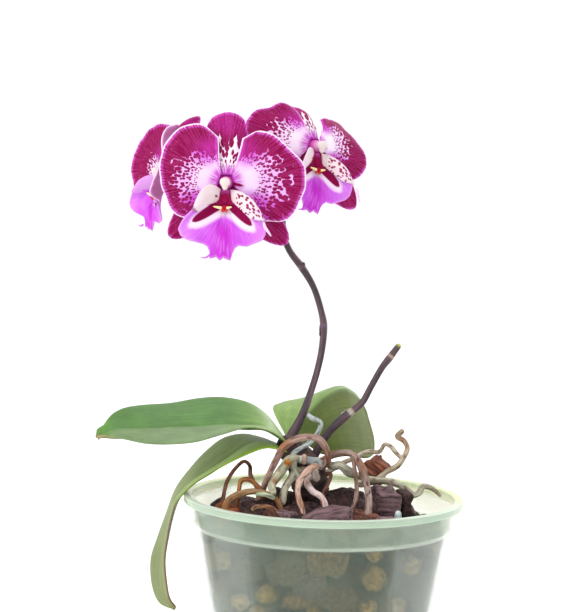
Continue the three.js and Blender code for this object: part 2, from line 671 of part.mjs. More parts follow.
// The five tepals of an open bloom: bearing and spread in degrees, rays in millimetres.
const TEPALS = {
  dorsal_sepal: {
    bearing: 90, spread: 60, depth: -2, lean: -4, bend: [-14, -14],
    reach: [7.5, 11.5, 17.5, 27, 29, 27.5, 22, 15, 9],
    strips: 6, colour: "petal",
  },
  lateral_sepal_left: {
    bearing: 224.5, spread: 56, depth: -2, lean: -4, bend: [-14, -14],
    reach: [8, 12.5, 18.5, 26, 34, 27, 19, 12.5, 8],
    strips: 6, colour: "crimson",
  },
  lateral_sepal_right: {
    bearing: -44.5, spread: 56, depth: -2, lean: -4, bend: [-14, -14],
    reach: [9, 13.5, 20, 28, 36.8, 28, 20, 13.5, 9],
    strips: 6, colour: "crimson",
  },
  petal_left: {
    bearing: 163.5, spread: 71.5, depth: 0, lean: 0, bend: [-8, -8], wave: 0.4,
    reach: [19.5, 26.8, 29.6, 29.7, 28.4, 26.9, 25.8, 25.6, 22],
    strips: 8, colour: "petal",
  },
  petal_right: {
    bearing: 14.5, spread: 64.5, depth: 0, lean: 0, bend: [-8, -8], wave: 0.4,
    reach: [23.5, 30.3, 31.6, 32.9, 32.9, 29.5, 28.1, 25.8, 19.8],
    strips: 8, colour: "petal",
  },
};

// The lip hangs from the throat: the lengths of its apron's rays, from one side to the other,
// and the corners of its two side wings, the left one first.
const THROAT = [0, -8, 2.5];
const APRON_HALF = 76; // degrees from the middle of the apron to its side
const APRON_START = 0.06; // share of a ray's length at which the apron begins
const APRON_LEAN = 4.5; // how far the apron's tip comes forward, and its side corners more
const CORNER_LEAN = 6.5;
const APRON_CROWN = 2.5;
const WING_BOW = 1.6;
const FLOOR_TOP = 1.6; // half the width of the throat's floor at its top, and what it gains
const FLOOR_GAIN = 3;
const LIP_REACH = [13, 21.2, 24.9, 23.2, 21.6, 26.6, 25.8, 24.5, 22.3, 23.4, 24.1, 20.7, 15.5];
const WINGS = [
  {
    throat: [-3, -8.2, 3.4], root: [-2, -3, 3], crest: [-9.6, 4.4, 9],
    tip: [-14, -12.2, 13], foot: [-12, -13.2, 11.5],
  },
  {
    throat: [3, -8.2, 3.4], root: [2.1, -3, 3], crest: [13.4, -2.6, 10],
    tip: [18.4, -16.4, 14], foot: [12, -15.6, 12],
  },
];

// The lip's hanging apron: a fan from the throat, its side corners well forward.
function lipApron(scale) {
  const [, throatY, throatZ] = THROAT;
  const place = (u, v) => {
    const share = APRON_START + (1 - APRON_START) * u;
    const length = scale * share * through(LIP_REACH, (v + 1) / 2);
    const turn = radians(-90 + APRON_HALF * v);
    const crown = APRON_CROWN * Math.sin(Math.PI * u) * (1 - v * v);
    const forward = throatZ + u * (APRON_LEAN + CORNER_LEAN * v * v) + crown;
    return new THREE.Vector3(length * Math.cos(turn), throatY + length * Math.sin(turn), forward);
  };
  return blade(place, () => APRON_THICKNESS, 4, 12);
}

// A side wing of the lip: a sheet between a low line and a curved free edge. The outer
// corners grow from the throat by scale; those in the throat stay where they are.
function lipWing(wing, scale) {
  const outer = (corner) => {
    const origin = vec(THROAT);
    return vec(corner).sub(origin).multiply(new THREE.Vector3(scale, scale, 1)).add(origin);
  };
  const foot = outer(wing.foot);
  const free = new THREE.QuadraticBezierCurve3(vec(wing.root), outer(wing.crest), outer(wing.tip));
  const place = (u, v) => {
    const share = (v + 1) / 2;
    const bow = WING_BOW * Math.sin(Math.PI * share) * Math.sin(Math.PI * (0.1 + 0.8 * u));
    const low = vec(wing.throat).lerp(foot, u);
    return low.lerp(free.getPoint(u), share).addScaledVector(UP, bow);
  };
  return blade(place, () => WING_THICKNESS, 4, 2);
}

// The floor between the wings hangs from the column; it widens downwards as it comes forward.
function throatFloor() {
  const place = (u, v) => {
    const half = FLOOR_TOP + FLOOR_GAIN * Math.max(u, 0) ** 1.4;
    return new THREE.Vector3(half * v, -2.9 - 7.2 * u, 1.2 + 3.4 * u + 0.7 * v * v);
  };
  return blade(place, () => FLOOR_THICKNESS, 2, 2);
}

function lip(scale) {
  const wings = WINGS.map((wing) => lipWing(wing, scale));
  return unite([lipApron(scale), throatFloor(), ...wings]);
}

// The column in the middle, with the small disc behind it that the tepals grow from.
const COLUMN = [
  [0, 0, -2.4, 2.6],
  [0, 0, -1.4, 3.2],
  [0, 0, 0.6, 2.9],
  [0, 0.3, 3, 2.2],
  [0, 0.4, 5.6, 2.1],
  [0, -0.2, 7.4, 1.7],
];
const STALK_END = 4; // a flower stalk stops this far behind the middle of its bloom

// One bloom: seven pieces in a group that is turned and placed as a whole.
function bloom(name, shape) {
  const column = limb(COLUMN, { sides: COLUMN_SIDES, step: 2 });
  const grownColumn = limb(COLUMN, { sides: COLUMN_SIDES, step: 2, extra: AIR });
  const turnedLip = lip(shape.lipScale).rotate([0, 0, shape.lipTurn]);
  const group = new THREE.Group();
  for (const [piece, usual] of Object.entries(TEPALS)) {
    const tepal = { ...usual, ...shape[piece] };
    const body = blade(tepalPlace(tepal), () => PETAL_THICKNESS, PETAL_STEPS, tepal.strips);
    group.add(part(`${name}_${piece}`, carve(body, [grownColumn]), MATERIALS[tepal.colour]));
  }
  group.add(part(`${name}_lip`, carve(turnedLip, [grownColumn]), MATERIALS.lip));
  group.add(part(`${name}_column`, column, MATERIALS.column));
  group.position.set(...shape.centre);
  group.quaternion.copy(bloomTurn(shape));
  return group;
}

// A bloom faces -Y and is then turned to the right by yaw.
function bloomTurn({ yaw }) {
  const upright = new THREE.Quaternion().setFromAxisAngle(new THREE.Vector3(1, 0, 0), radians(90));
  return new THREE.Quaternion().setFromAxisAngle(UP, radians(yaw)).multiply(upright);
}

// The end of a bloom's stalk, straight behind its middle.
function behind(shape) {
  const back = new THREE.Vector3(0, 0, -STALK_END).applyQuaternion(bloomTurn(shape));
  return vec(shape.centre).add(back).toArray();
}

// Where each bloom stands, and how it differs from the usual one.
const BLOOMS = {
  bloom_front: { centre: [-48, -22, 260], yaw: -2, lipScale: 1, lipTurn: 0 },
  bloom_left: {
    centre: [-76, 15, 263], yaw: -55, lipScale: 0.73, lipTurn: -8,
    dorsal_sepal: {
      spread: 32, lean: 22, bend: [-110, -110],
      reach: [7.5, 13, 20, 28, 32, 29, 22, 15, 9],
    },
    lateral_sepal_left: { lean: -38, bend: [-20, -20] },
    lateral_sepal_right: { lean: -30, bend: [-20, -20] },
    petal_left: {
      bearing: 156, spread: 72, lean: 7,
      bend: [-24, -16, -6, 4, 5, 5, 5, 5, 5],
      reach: [21.5, 22.3, 22.5, 22, 22.5, 24.3, 25, 22.5, 16],
    },
    petal_right: {
      bearing: 19, spread: 71, lean: 34,
      bend: [6, 30, 34, 24, 10, 6, -8, -48, -90],
      reach: [22.5, 27.6, 26.8, 29, 30, 27.8, 26.5, 23.5, 23.5],
    },
  },
  bloom_right: {
    centre: [-8, 16, 277], yaw: 28, lipScale: 0.88, lipTurn: -8,
    dorsal_sepal: {
      lean: -38, bend: [-24, -24],
      reach: [9, 13.5, 16.8, 20.8, 22.5, 24, 22, 15, 9],
    },
    lateral_sepal_left: {
      bearing: 214, lean: -14, bend: [-20, -20],
      reach: [7, 14, 20, 23, 24, 23, 20, 14, 7],
    },
    lateral_sepal_right: {
      bearing: -46, lean: -8, bend: [-4, -4],
      reach: [9, 13.5, 20, 30, 37.5, 25.5, 17, 12, 8],
    },
    petal_left: {
      bearing: 165, spread: 66, lean: -4,
      bend: [-60, -57, -50, -34, -22, -18, -16, -16, -16],
      reach: [21.5, 26, 26.4, 30.4, 32.6, 30, 27.5, 24, 18],
    },
    petal_right: {
      bearing: 16, spread: 60, lean: -4,
      bend: [-10, -12, -18, -28, -48, -62, -62, -62, -62],
      reach: [25.8, 29.8, 31, 26.6, 24.3, 24.3, 20.2, 17.6, 15],
    },
  },
};

// ---------------------------------------------------------------- assembly

const plant = new THREE.Group();

const stemOptions = { sides: STEM_SIDES, step: 4.5 };
const spikeOptions = { sides: 7, step: 5.5 };
const stalkOptions = { sides: 6, step: 5 };
const grown = (stations, options = {}) => limb(stations, { ...options, extra: AIR });

const stalkTo = (shape) => [...behind(shape), STALK_RADIUS];
const wholeSpike = [...SPIKE, stalkTo(BLOOMS.bloom_left)];
const spikeLimbs = [
  [wholeSpike, spikeOptions],
  [SPIKE_BRACT, { sides: 6, step: 3 }],
  [[...FRONT_STALK, stalkTo(BLOOMS.bloom_front)], stalkOptions],
  [[...RIGHT_STALK, stalkTo(BLOOMS.bloom_right)], stalkOptions],
];
const grownStem = grown(STEM, stemOptions);
const grownSpikes = [grown(wholeSpike, spikeOptions), grown(CUT_SPIKE, spikeOptions)];
const grownRoots = ROOTS.map(([, , stations]) => grown(stations));

plant.add(part("stem", limb(STEM, stemOptions), MATERIALS.crown));
const spike = unite(spikeLimbs.map(([stations, options]) => limb(stations, options)));
plant.add(part("spike", carve(spike, [grownStem]), MATERIALS.spike));
const stub = carve(limb(CUT_SPIKE, spikeOptions), [grownStem, grownSpikes[0]]);
plant.add(part("cut_spike", stub, MATERIALS.spike));

const growth = [grownStem, ...grownSpikes, ...grownRoots];
const leftLeaf = carve(leaf(LEAF_LEFT, LEAF_SWELL.left), growth);
const besideLeft = [...growth, leaf(LEAF_LEFT, LEAF_SWELL.left, AIR)];
const hangingLeaf = carve(leaf(LEAF_HANGING, LEAF_SWELL.hanging), besideLeft);
const rightLeaf = carve(leaf(LEAF_RIGHT, LEAF_SWELL.right), besideLeft);
plant.add(part("leaf_left", leftLeaf, MATERIALS.leafTop));
plant.add(part("leaf_hanging", hangingLeaf, MATERIALS.leafDull));
plant.add(part("leaf_right", rightLeaf, MATERIALS.leafDark));

ROOTS.forEach(([name, colour, stations], index) => {
  const earlier = [grownStem, ...grownSpikes, ...grownRoots.slice(0, index)];
  plant.add(part(name, carve(limb(stations), earlier), MATERIALS[colour]));
});

for (const [name, shape] of Object.entries(BLOOMS)) plant.add(bloom(name, shape));

// The mix: chips and pebbles in pockets of the bed, and plain holes round stem and roots.
const looseChip = (extra) => ([, centre, size, turn], index) =>
  chip(centre, size, turn, seeded(40 + index), extra);
const looseChips = LOOSE_CHIPS.map(looseChip(0));
const grownChips = LOOSE_CHIPS.map(looseChip(AIR));
const random = seeded(7);
const scatteredChips = [...wallChips(random), ...heapChips(random)];
const pebbleGap = CLAY_PEBBLES.map((row) => pebble(pebbleCentre(row), row[2], AIR));
const insidePot = lathe([[0, POT_FLOOR + AIR], ...potInside(AIR), [0, ABOVE_HEAP]]);
const pockets = [...grownChips, ...pebbleGap, grownStem, ...grownSpikes, ...grownRoots];
const bed = unite([bedCore(), ...scatteredChips]).intersect(insidePot);

const mix = new THREE.Group();
mix.add(part("bark_bed", carve(bed, pockets), MATERIALS.bark));
LOOSE_CHIPS.forEach(([name, , , , colour], index) => {
  const earlier = [grownStem, ...grownSpikes, ...grownRoots, ...grownChips.slice(0, index)];
  mix.add(part(name, carve(looseChips[index], earlier), MATERIALS[colour]));
});
CLAY_PEBBLES.forEach((row, index) => {
  mix.add(part(`clay_pebble_${index + 1}`, pebble(pebbleCentre(row), row[2]), MATERIALS.clay));
});

const orchid = new THREE.Group();
orchid.add(part("pot", pot(), MATERIALS.pot), mix, plant);

export default orchid;
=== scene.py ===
# %% [markdown]
# # A moth orchid in a clear nursery pot
#
# The frame holds plain solids: a tapered pot, a heap of bark with clay pebbles, a short stem,
# a flower spike and the stub of an older one, three leaves, sixteen air roots and three blooms.
# This lesson dresses each of them. Every new piece keeps the form of the solid that it stands
# for and adds what a plain solid can't carry: wrinkled root skin, chips broken along the grain,
# petals with painted spots, a milky plastic wall that lets the mix show through.
#
# A plant part could be sculpted by hand, grown by modifiers, or worked out as a surface. Here
# each surface is a function of two parameters on a grid, computed as whole arrays, because a
# formula gives the same plant on every run and can be read and changed.

import math

import bpy
import numpy as np
from mathutils import Matrix


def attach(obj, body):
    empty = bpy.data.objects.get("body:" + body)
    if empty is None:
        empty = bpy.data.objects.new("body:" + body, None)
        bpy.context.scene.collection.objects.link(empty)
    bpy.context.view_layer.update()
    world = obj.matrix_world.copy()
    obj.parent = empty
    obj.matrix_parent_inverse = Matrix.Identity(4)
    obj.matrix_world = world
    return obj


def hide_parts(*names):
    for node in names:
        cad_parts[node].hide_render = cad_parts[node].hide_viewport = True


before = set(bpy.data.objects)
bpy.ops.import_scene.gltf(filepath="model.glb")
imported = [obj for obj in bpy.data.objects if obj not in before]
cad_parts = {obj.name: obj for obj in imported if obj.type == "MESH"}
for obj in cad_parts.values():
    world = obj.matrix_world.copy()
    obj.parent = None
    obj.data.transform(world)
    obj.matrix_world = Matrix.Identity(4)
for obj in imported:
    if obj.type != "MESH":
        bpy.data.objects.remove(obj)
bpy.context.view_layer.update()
MM = 0.001

# %% [markdown]
# ## Camera, floor and light
#
# A small plant keeps its true proportions from about a metre, through a long lens, a little
# above the rim of the pot. The camera's head leans by a degree and a half. The floor runs back
# and curves up into a wall, as a paper sweep does in a studio, so no edge shows behind the
# plant. The light is a bright even surround, one large soft box at the upper left and a weaker
# one behind, which shines through petals and pot.

# %% Camera
VIEWPOINT = (-0.0203, -0.9848, 0.2886)
LOOK_DOWN = math.radians(4.963)
HEAD_LEAN = math.radians(1.45)
LENS = 125.77

camera = bpy.data.objects.new("camera", bpy.data.cameras.new("camera"))
bpy.context.scene.collection.objects.link(camera)
camera.data.lens = LENS
stand = Matrix.Translation(VIEWPOINT)
nod = Matrix.Rotation(math.pi / 2 - LOOK_DOWN, 4, "X")
camera.matrix_world = stand @ nod @ Matrix.Rotation(HEAD_LEAN, 4, "Z")
bpy.context.scene.camera = camera
bpy.context.scene.view_settings.view_transform = "Standard"
print("the camera stands", round(abs(VIEWPOINT[1]), 2), "m in front of the pot")


# %% Soft light
def soft_box(name, place, towards, size, power):
    """A square area light at place, turned to face towards."""
    light = bpy.data.lights.new(name, "AREA")
    light.size = size
    light.energy = power
    lamp = bpy.data.objects.new(name, light)
    bpy.context.scene.collection.objects.link(lamp)
    lamp.location = place
    aim = np.subtract(towards, place)
    flat = math.hypot(aim[0], aim[1])
    lamp.rotation_euler = (math.pi / 2 + math.atan2(aim[2], flat), 0, math.atan2(-aim[0], aim[1]))
    return lamp


PLANT_MIDDLE = (-0.02, 0.0, 0.17)
soft_box("soft_box_left", (-1.0, -0.9, 1.25), PLANT_MIDDLE, 0.9, 12)
soft_box("soft_box_behind", (0.7, 1.1, 0.9), PLANT_MIDDLE, 0.8, 9)

surround = bpy.data.worlds.new("surround")
surround.use_nodes = True
surround.node_tree.nodes["Background"].inputs["Color"].default_value = (1, 1, 1, 1)
surround.node_tree.nodes["Background"].inputs["Strength"].default_value = 1.03
bpy.context.scene.world = surround
print("two soft boxes and a white surround")

# %% [markdown]
# ## From numbers to meshes
#
# A piece may be one closed surface or many, such as a hundred chips. So each closed surface
# is first a small record, here called a shell: its points in millimetres, its four- and
# three-sided faces and its marks. A mark is a value kept at every point, such as a colour or a
# distance from the edge, which a material can read. The volume enclosed by a shell tells which
# way its faces look: if it is negative, they are turned round.

# %% Shells
NO_FACES = np.zeros((0, 3), int)


def packed(*parts):
    """Arrays side by side along a new last axis, as x, y and z are in a point. Shorter ones
    are repeated to the shape of the whole."""
    return np.stack(np.broadcast_arrays(*parts), axis=-1)


def quads_of(index):
    """Four-sided faces between the neighbours in a grid of point numbers."""
    around = packed(index[:-1, :-1], index[:-1, 1:], index[1:, 1:], index[1:, :-1])
    return around.reshape(-1, 4)


def enclosed(points, quads, triangles):
    """Volume inside a closed surface: one sixth of the sum of a . (b x c) over its triangles."""
    halves = np.concatenate([quads[:, [0, 1, 2]], quads[:, [0, 2, 3]], triangles])
    a, b, c = (points[halves[:, k]] for k in range(3))
    return np.einsum("ij,ij->", a, np.cross(b, c)) / 6


def shell(points, quads, triangles=NO_FACES, **marks):
    """One closed surface with its faces turned outwards."""
    if enclosed(points, quads, triangles) < 0:
        quads, triangles = quads[:, ::-1], triangles[:, ::-1]
    return {"points": points, "quads": quads, "triangles": triangles, "marks": marks}


def joined(shells):
    """Several shells as one record, their point numbers counted on."""
    counts = [len(each["points"]) for each in shells]
    starts = np.concatenate([[0], np.cumsum(counts)[:-1]])
    whole = {"points": np.concatenate([each["points"] for each in shells])}
    for faces in ("quads", "triangles"):
        whole[faces] = np.concatenate([each[faces] + first for each, first in zip(shells, starts)])
    gathered = lambda label: np.concatenate([each["marks"][label] for each in shells])
    whole["marks"] = {label: gathered(label) for label in shells[0]["marks"]}
    return whole


print("a shell keeps points, quads, triangles and marks")


# %% Meshes and pieces
def write_marks(mesh, marks):
    """Stores each mark on the mesh: one number a point, or three."""
    for label, values in marks.items():
        several = values.ndim == 2
        layer = mesh.attributes.new(label, "FLOAT_VECTOR" if several else "FLOAT", "POINT")
        layer.data.foreach_set("vector" if several else "value", values.astype(np.float32).ravel())


def mesh_of(name, made):
    """A Blender mesh from a shell or several joined, in metres and smoothly shaded."""
    mesh = bpy.data.meshes.new(name)
    quads, triangles = made["quads"], made["triangles"]
    mesh.vertices.add(len(made["points"]))
    mesh.vertices.foreach_set("co", (made["points"] * MM).astype(np.float32).ravel())
    corners = np.concatenate([quads.ravel(), triangles.ravel()]).astype(np.int32)
    mesh.loops.add(len(corners))
    mesh.loops.foreach_set("vertex_index", corners)
    starts = 4 * np.arange(len(quads)), 4 * len(quads) + 3 * np.arange(len(triangles))
    starts = np.concatenate(starts)
    mesh.polygons.add(len(starts))
    mesh.polygons.foreach_set("loop_start", starts.astype(np.int32))
    mesh.polygons.foreach_set("use_smooth", np.ones(len(starts), bool))
    mesh.update(calc_edges=True)
    write_marks(mesh, made["marks"])
    return mesh


total_triangles = 0


def place_piece(name, made, material, slot, *nodes):
    """Adds a finished piece at the origin, riding on the one body and standing for its nodes."""
    global total_triangles
    piece = bpy.data.objects.new(name, mesh_of(name, made))
    piece.data.materials.append(material)
    bpy.context.scene.collection.objects.link(piece)
    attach(piece, "root")
    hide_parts(*nodes)
    triangles = 2 * len(made["quads"]) + len(made["triangles"])
    total_triangles += triangles
    print(f"{name}: {triangles} triangles")
    return piece


# %% [markdown]
# ## Curves and lumps
#
# Stems and roots follow smooth paths through a few stations, each a place and a radius. Leaf
# margins and petal outlines are smooth curves through equally spaced values. And nothing that
# grew is even, so a few sine waves in random directions, added up, give lumps of a chosen size.
# The random draws start from a fixed seed, so the plant never changes between runs.

# %% Curve and lump helpers


def through(values, share):
    """Catmull-Rom curve through equally spaced values: each stretch is a cubic whose slopes
    are half the difference of the neighbours'. share runs from 0 to 1 along the list."""
    values = np.asarray(values, float)
    place = np.clip(share, 0, 1) * (len(values) - 1)
    first = np.minimum(place.astype(int), len(values) - 2)
    f = place - first
    p, q, r, s = (values[np.clip(first + k, 0, len(values) - 1)] for k in (-1, 0, 1, 2))
    return q + 0.5 * f * (r - p + f * (2 * p - 5 * q + 4 * r - s + f * (3 * (q - r) + s - p)))


def ease(value, low, high):
    """0 below low, 1 above high, and a smooth S between them: 3t^2 - 2t^3."""
    t = np.clip((value - low) / (high - low), 0, 1)
    return t * t * (3 - 2 * t)


def lumps(places, pitch, seed, waves=7):
    """Even lumps about pitch millimetres apart, roughly from -1 to 1: the sum of a few sine
    waves that run in random directions with random starts, over the root of their number."""
    draw = np.random.default_rng(seed)
    directions = draw.normal(size=(waves, places.shape[-1]))
    directions *= 2 * math.pi / pitch / np.linalg.norm(directions, axis=1, keepdims=True)
    starts = draw.uniform(0, 2 * math.pi, waves)
    return np.sin(places @ directions.T + starts).sum(axis=-1) / math.sqrt(waves)


def colour(code):
    """A colour written as six hexadecimal digits, as the linear values that light adds up in."""
    parts = np.array([int(code[k : k + 2], 16) for k in (0, 2, 4)]) / 255
    return np.where(parts < 0.04045, parts / 12.92, ((parts + 0.055) / 1.055) ** 2.4)


def tint(share, first, second):
    """Between two colours, each given by its digits or its values: share 0 gives the first
    and 1 the second, at every point."""
    first, second = (colour(each) if isinstance(each, str) else each for each in (first, second))
    share = np.clip(np.asarray(share, float), 0, 1)[..., None]
    return first + (second - first) * share


print("a curve through 0, 1, 3 and 4 passes", through([0, 1, 3, 4], 0.5), "halfway")


# %% [markdown]
# ## Limbs
#
# A stem or a root is a round limb. Its centre line is a centripetal Catmull-Rom curve: the
# knots are spaced by the square root of the distance, which keeps tight bends from looping.
# Rings are set along it in equal steps, each carried on from the one before with no twist,
# and both ends are rounded off and closed by a single point.

# %% Centre lines
STRETCH = 16  # samples between two stations


class CentreLine:
    """A smooth line through stations (x, y, z, radius), with a frame at every point of it."""

    def __init__(self, stations):
        knots = np.asarray(stations, float)
        self.middle = self.curve(knots[:, :3])
        place = np.arange(len(self.middle)) / STRETCH
        self.radius = np.interp(place, np.arange(len(knots)), knots[:, 3])
        strides = np.linalg.norm(np.diff(self.middle, axis=0), axis=1)
        self.walked = np.concatenate([[0], np.cumsum(strides)])
        self.length = self.walked[-1]
        self.side = self.carried(np.gradient(self.middle, self.walked, axis=0))

    @staticmethod
    def curve(place):
        """Cubic stretches between neighbouring places, with slopes from the two beyond them."""
        longer = np.vstack([2 * place[0] - place[1], place, 2 * place[-1] - place[-2]])
        knot = np.sqrt(np.linalg.norm(np.diff(longer, axis=0), axis=1))[:, None]
        before, within, after = knot[:-2], knot[1:-1], knot[2:]
        a, b, c, d = longer[:-3], longer[1:-2], longer[2:-1], longer[3:]
        leave = ((b - a) / before - (c - a) / (before + within) + (c - b) / within) * within
        arrive = ((c - b) / within - (d - b) / (within + after) + (d - c) / after) * within
        f = np.arange(STRETCH)[None, :, None] / STRETCH
        b, c, leave, arrive = (each[:, None] for each in (b, c, leave, arrive))
        bent = 3 * (c - b) - 2 * leave - arrive
        fine = b + leave * f + bent * f**2 + (2 * (b - c) + leave + arrive) * f**3
        return np.vstack([fine.reshape(-1, 3), place[-1:]])

    @staticmethod
    def carried(along):
        """Side vectors carried down the line: each is the last one, made square to the line."""
        side = np.array([0.31, 0.83, 0.46])
        sides = []
        for direction in along / np.linalg.norm(along, axis=1, keepdims=True):
            side = side - direction * (side @ direction)
            side /= np.linalg.norm(side)
            sides.append(side)
        return np.array(sides)

    def at(self, walked):
        """Middle, side, across and radius at distances along the line."""
        pick = lambda values: packed(*(np.interp(walked, self.walked, w) for w in values.T))
        middle, side = pick(self.middle), pick(self.side)
        along = pick(np.gradient(self.middle, self.walked, axis=0))
        across = np.cross(along, side)
        across /= np.linalg.norm(across, axis=-1, keepdims=True)
        side = np.cross(across, along)
        side /= np.linalg.norm(side, axis=-1, keepdims=True)
        return middle, side, across, np.interp(walked, self.walked, self.radius)


print("a centre line takes", STRETCH, "samples between two stations")

# %% Limbs
ROUND_END = np.array([0.02, 0.12, 0.3, 0.6])  # rings in a rounded end, in radii from its tip


def closed_rings(rings, first, last):
    """Faces of a run of equal rings numbered one after another, with a fan at each end."""
    index = np.arange(rings.shape[0] * rings.shape[1]).reshape(rings.shape[:2])
    quads = quads_of(np.hstack([index, index[:, :1]]))
    poles = index.size, index.size + 1
    start, end = index[0], index[-1]
    opening = packed(np.roll(start, -1), start, np.full_like(start, poles[0]))
    closing = packed(end, np.roll(end, -1), np.full_like(end, poles[1]))
    points = np.vstack([rings.reshape(-1, 3), first, last])
    return points, quads, np.concatenate([opening, closing])


def limb(stations, paint, sides=14, step=0.9, skin=None):
    """A closed limb: a point is middle + radius * skin * (side cos t + across sin t). skin and
    paint are functions of straight, the same point on the limb pulled out straight: its first
    two values are the way round in millimetres and its third the way along."""
    line = CentreLine(stations)
    ends = line.radius[0], line.radius[-1]
    count = max(4, round((line.length - sum(ends)) / step))
    body = np.linspace(ends[0], line.length - ends[1], count)
    walked = np.concatenate([ROUND_END * ends[0], body, line.length - ROUND_END[::-1] * ends[1]])
    middle, side, across, radius = line.at(walked)
    near = np.minimum(walked / ends[0], (line.length - walked) / ends[1])
    radius = radius * np.sqrt(np.clip(1 - (1 - np.minimum(near, 1)) ** 2, 0, 1))
    turn = np.linspace(0, 2 * math.pi, sides, endpoint=False)
    girth = max(ends[0], 1)
    straight = packed(np.cos(turn) * girth, np.sin(turn) * girth, walked[:, None])
    width = radius[:, None] * (skin(straight) if skin else 1)
    out = side[:, None] * np.cos(turn)[:, None] + across[:, None] * np.sin(turn)[:, None]
    rings = middle[:, None] + out * width[..., None]
    points, quads, triangles = closed_rings(rings, line.middle[0], line.middle[-1])
    straight = np.vstack([straight.reshape(-1, 3), [0, 0, 0], [0, 0, line.length]])
    return shell(points, quads, triangles, skin=straight, paint=paint(straight))


print("a limb's rounded end takes", len(ROUND_END), "rings")


# %% [markdown]
# ## Blades
#
# A leaf or a petal is a thin blade. Its middle surface is a function of u, from base to tip,
# and v, from one margin to the other. The normal is the cross product of the two slopes, and
# each face lies half a thickness along it. The faces share the points of the rim, where the
# thickness runs out, so the edge is rounded and the blade closed without a seam.

# %% Blades
EDGE_FADE = 14  # the higher, the closer to the rim a blade keeps its thickness


def blade(place, thickness, steps, strips, marks):
    """A closed blade about place(u, v). thickness is a number or a function of u and v, and
    marks are functions of u, v and the face, 1 or -1."""
    u, v = np.meshgrid(np.linspace(0, 1, steps + 1), np.linspace(-1, 1, strips + 1), indexing="ij")
    nudge = 1e-3
    down = place(u + nudge, v) - place(u - nudge, v)
    normal = np.cross(down, place(u, v + nudge) - place(u, v - nudge))
    normal /= np.linalg.norm(normal, axis=-1, keepdims=True)
    rim = (1 - np.abs(v) ** EDGE_FADE) * (1 - np.abs(2 * u - 1) ** (2 * EDGE_FADE))
    thick = thickness(u, v) if callable(thickness) else thickness
    half = (0.5 * thick * np.sqrt(np.clip(rim, 0, 1)))[..., None]
    inside = np.zeros(u.shape, bool)
    inside[1:-1, 1:-1] = True
    front = np.arange(u.size).reshape(u.shape)
    back = front.copy()
    back[inside] = u.size + np.arange(inside.sum())
    both = lambda near, far: np.concatenate([near.reshape(u.size, *near.shape[2:]), far[inside]])
    points = both(place(u, v) + normal * half, place(u, v) - normal * half)
    quads = np.concatenate([quads_of(front), quads_of(back)[:, ::-1]])
    values = {label: both(mark(u, v, 1), mark(u, v, -1)) for label, mark in marks.items()}
    return shell(points, quads, **values)


kept = math.sqrt(1 - 0.9**EDGE_FADE)
print("nine tenths out a blade keeps", round(kept, 2), "of its thickness")


# %% [markdown]
# ## A bench for materials
#
# A finish is a few nodes wired to one principled shader. Wiring them by hand takes many lines,
# so a small bench keeps the node tree and offers the steps that the finishes below share:
# reading a mark, noise, fading a value between two limits and mixing two colours.

# %% The bench


class Bench:
    """A new material, with short ways to add nodes and join them."""

    def __init__(self, name, **sockets):
        self.material = bpy.data.materials.new(name)
        self.material.use_nodes = True
        self.tree = self.material.node_tree
        self.shader = self.tree.nodes["Principled BSDF"]
        self.set(**sockets)

    def feed(self, socket, value):
        """Joins another node's output to a socket, or sets it to a plain value or a colour."""
        value = colour(value) if isinstance(value, str) else value
        if isinstance(value, bpy.types.NodeSocket):
            self.tree.links.new(value, socket)
        else:
            several = np.ndim(value) > 0
            socket.default_value = (*value, 1)[: len(socket.default_value)] if several else value

    def set(self, **sockets):
        """Feeds the shader: base_color=... goes to Base Color, and so on."""
        for label, value in sockets.items():
            wanted = label.replace("_", " ").lower()
            socket = next(s for s in self.shader.inputs if s.name.lower() == wanted)
            self.feed(socket, value)

    def add(self, kind, output=0, settings=(), **inputs):
        """A node of a kind, with its settings and inputs; gives back one of its outputs."""
        node = self.tree.nodes.new(kind)
        for label, value in dict(settings).items():
            setattr(node, label, value)
        for label, value in inputs.items():
            key = int(label[1:]) if label[1:].isdigit() else label
            self.feed(node.inputs[key], value)
        return node.outputs[output]

    def mark(self, label, output="Fac"):
        return self.add("ShaderNodeAttribute", output, {"attribute_name": label})

    def place(self):
        return self.add("ShaderNodeTexCoord", "Object")

    def apart(self, vector, axis):
        return self.add("ShaderNodeSeparateXYZ", axis, Vector=vector)

    def sum(self, kind, first, second=0.0):
        return self.add("ShaderNodeMath", settings={"operation": kind}, i0=first, i1=second)

    def stretch(self, vector, by):
        return self.add("ShaderNodeVectorMath", settings={"operation": "MULTIPLY"}, i0=vector, i1=by)

    def shift(self, vector, by):
        return self.add("ShaderNodeVectorMath", settings={"operation": "ADD"}, i0=vector, i1=by)

    def noise(self, vector, scale, detail=3.0, output="Fac"):
        return self.add("ShaderNodeTexNoise", output, Vector=vector, Scale=scale, Detail=detail)

    def fade(self, value, low, high, start=0.0, end=1.0):
        """Moves value's range low to high onto start to end, with a smooth S, and stops there."""
        inputs = {"Value": value, "From Min": low, "From Max": high, "To Min": start, "To Max": end}
        return self.add("ShaderNodeMapRange", settings={"interpolation_type": "SMOOTHSTEP"}, **inputs)

    def mix(self, share, first, second, kind="MIX"):
        settings = {"data_type": "RGBA", "blend_type": kind}
        return self.add("ShaderNodeMix", 2, settings, i0=share, i6=first, i7=second)

    def bump(self, height, depth, strength=1.0):
        """Bends the shading as if the surface rose by height times depth metres."""
        inputs = {"Height": height, "Distance": depth, "Strength": strength}
        self.set(normal=self.add("ShaderNodeBump", **inputs))


print("a bench holds one material and its nodes")


# %% [markdown]
# ## The floor
#
# A paper sweep: level in front, a quarter round behind, then straight up. It is one profile
# carried sideways, and its finish is plain matt white paper.

# %% Floor
SWEEP_HALF = 4.0
SWEEP_BACK = 2.6
SWEEP_BEND = 1.2
SWEEP_TOP = 4.5


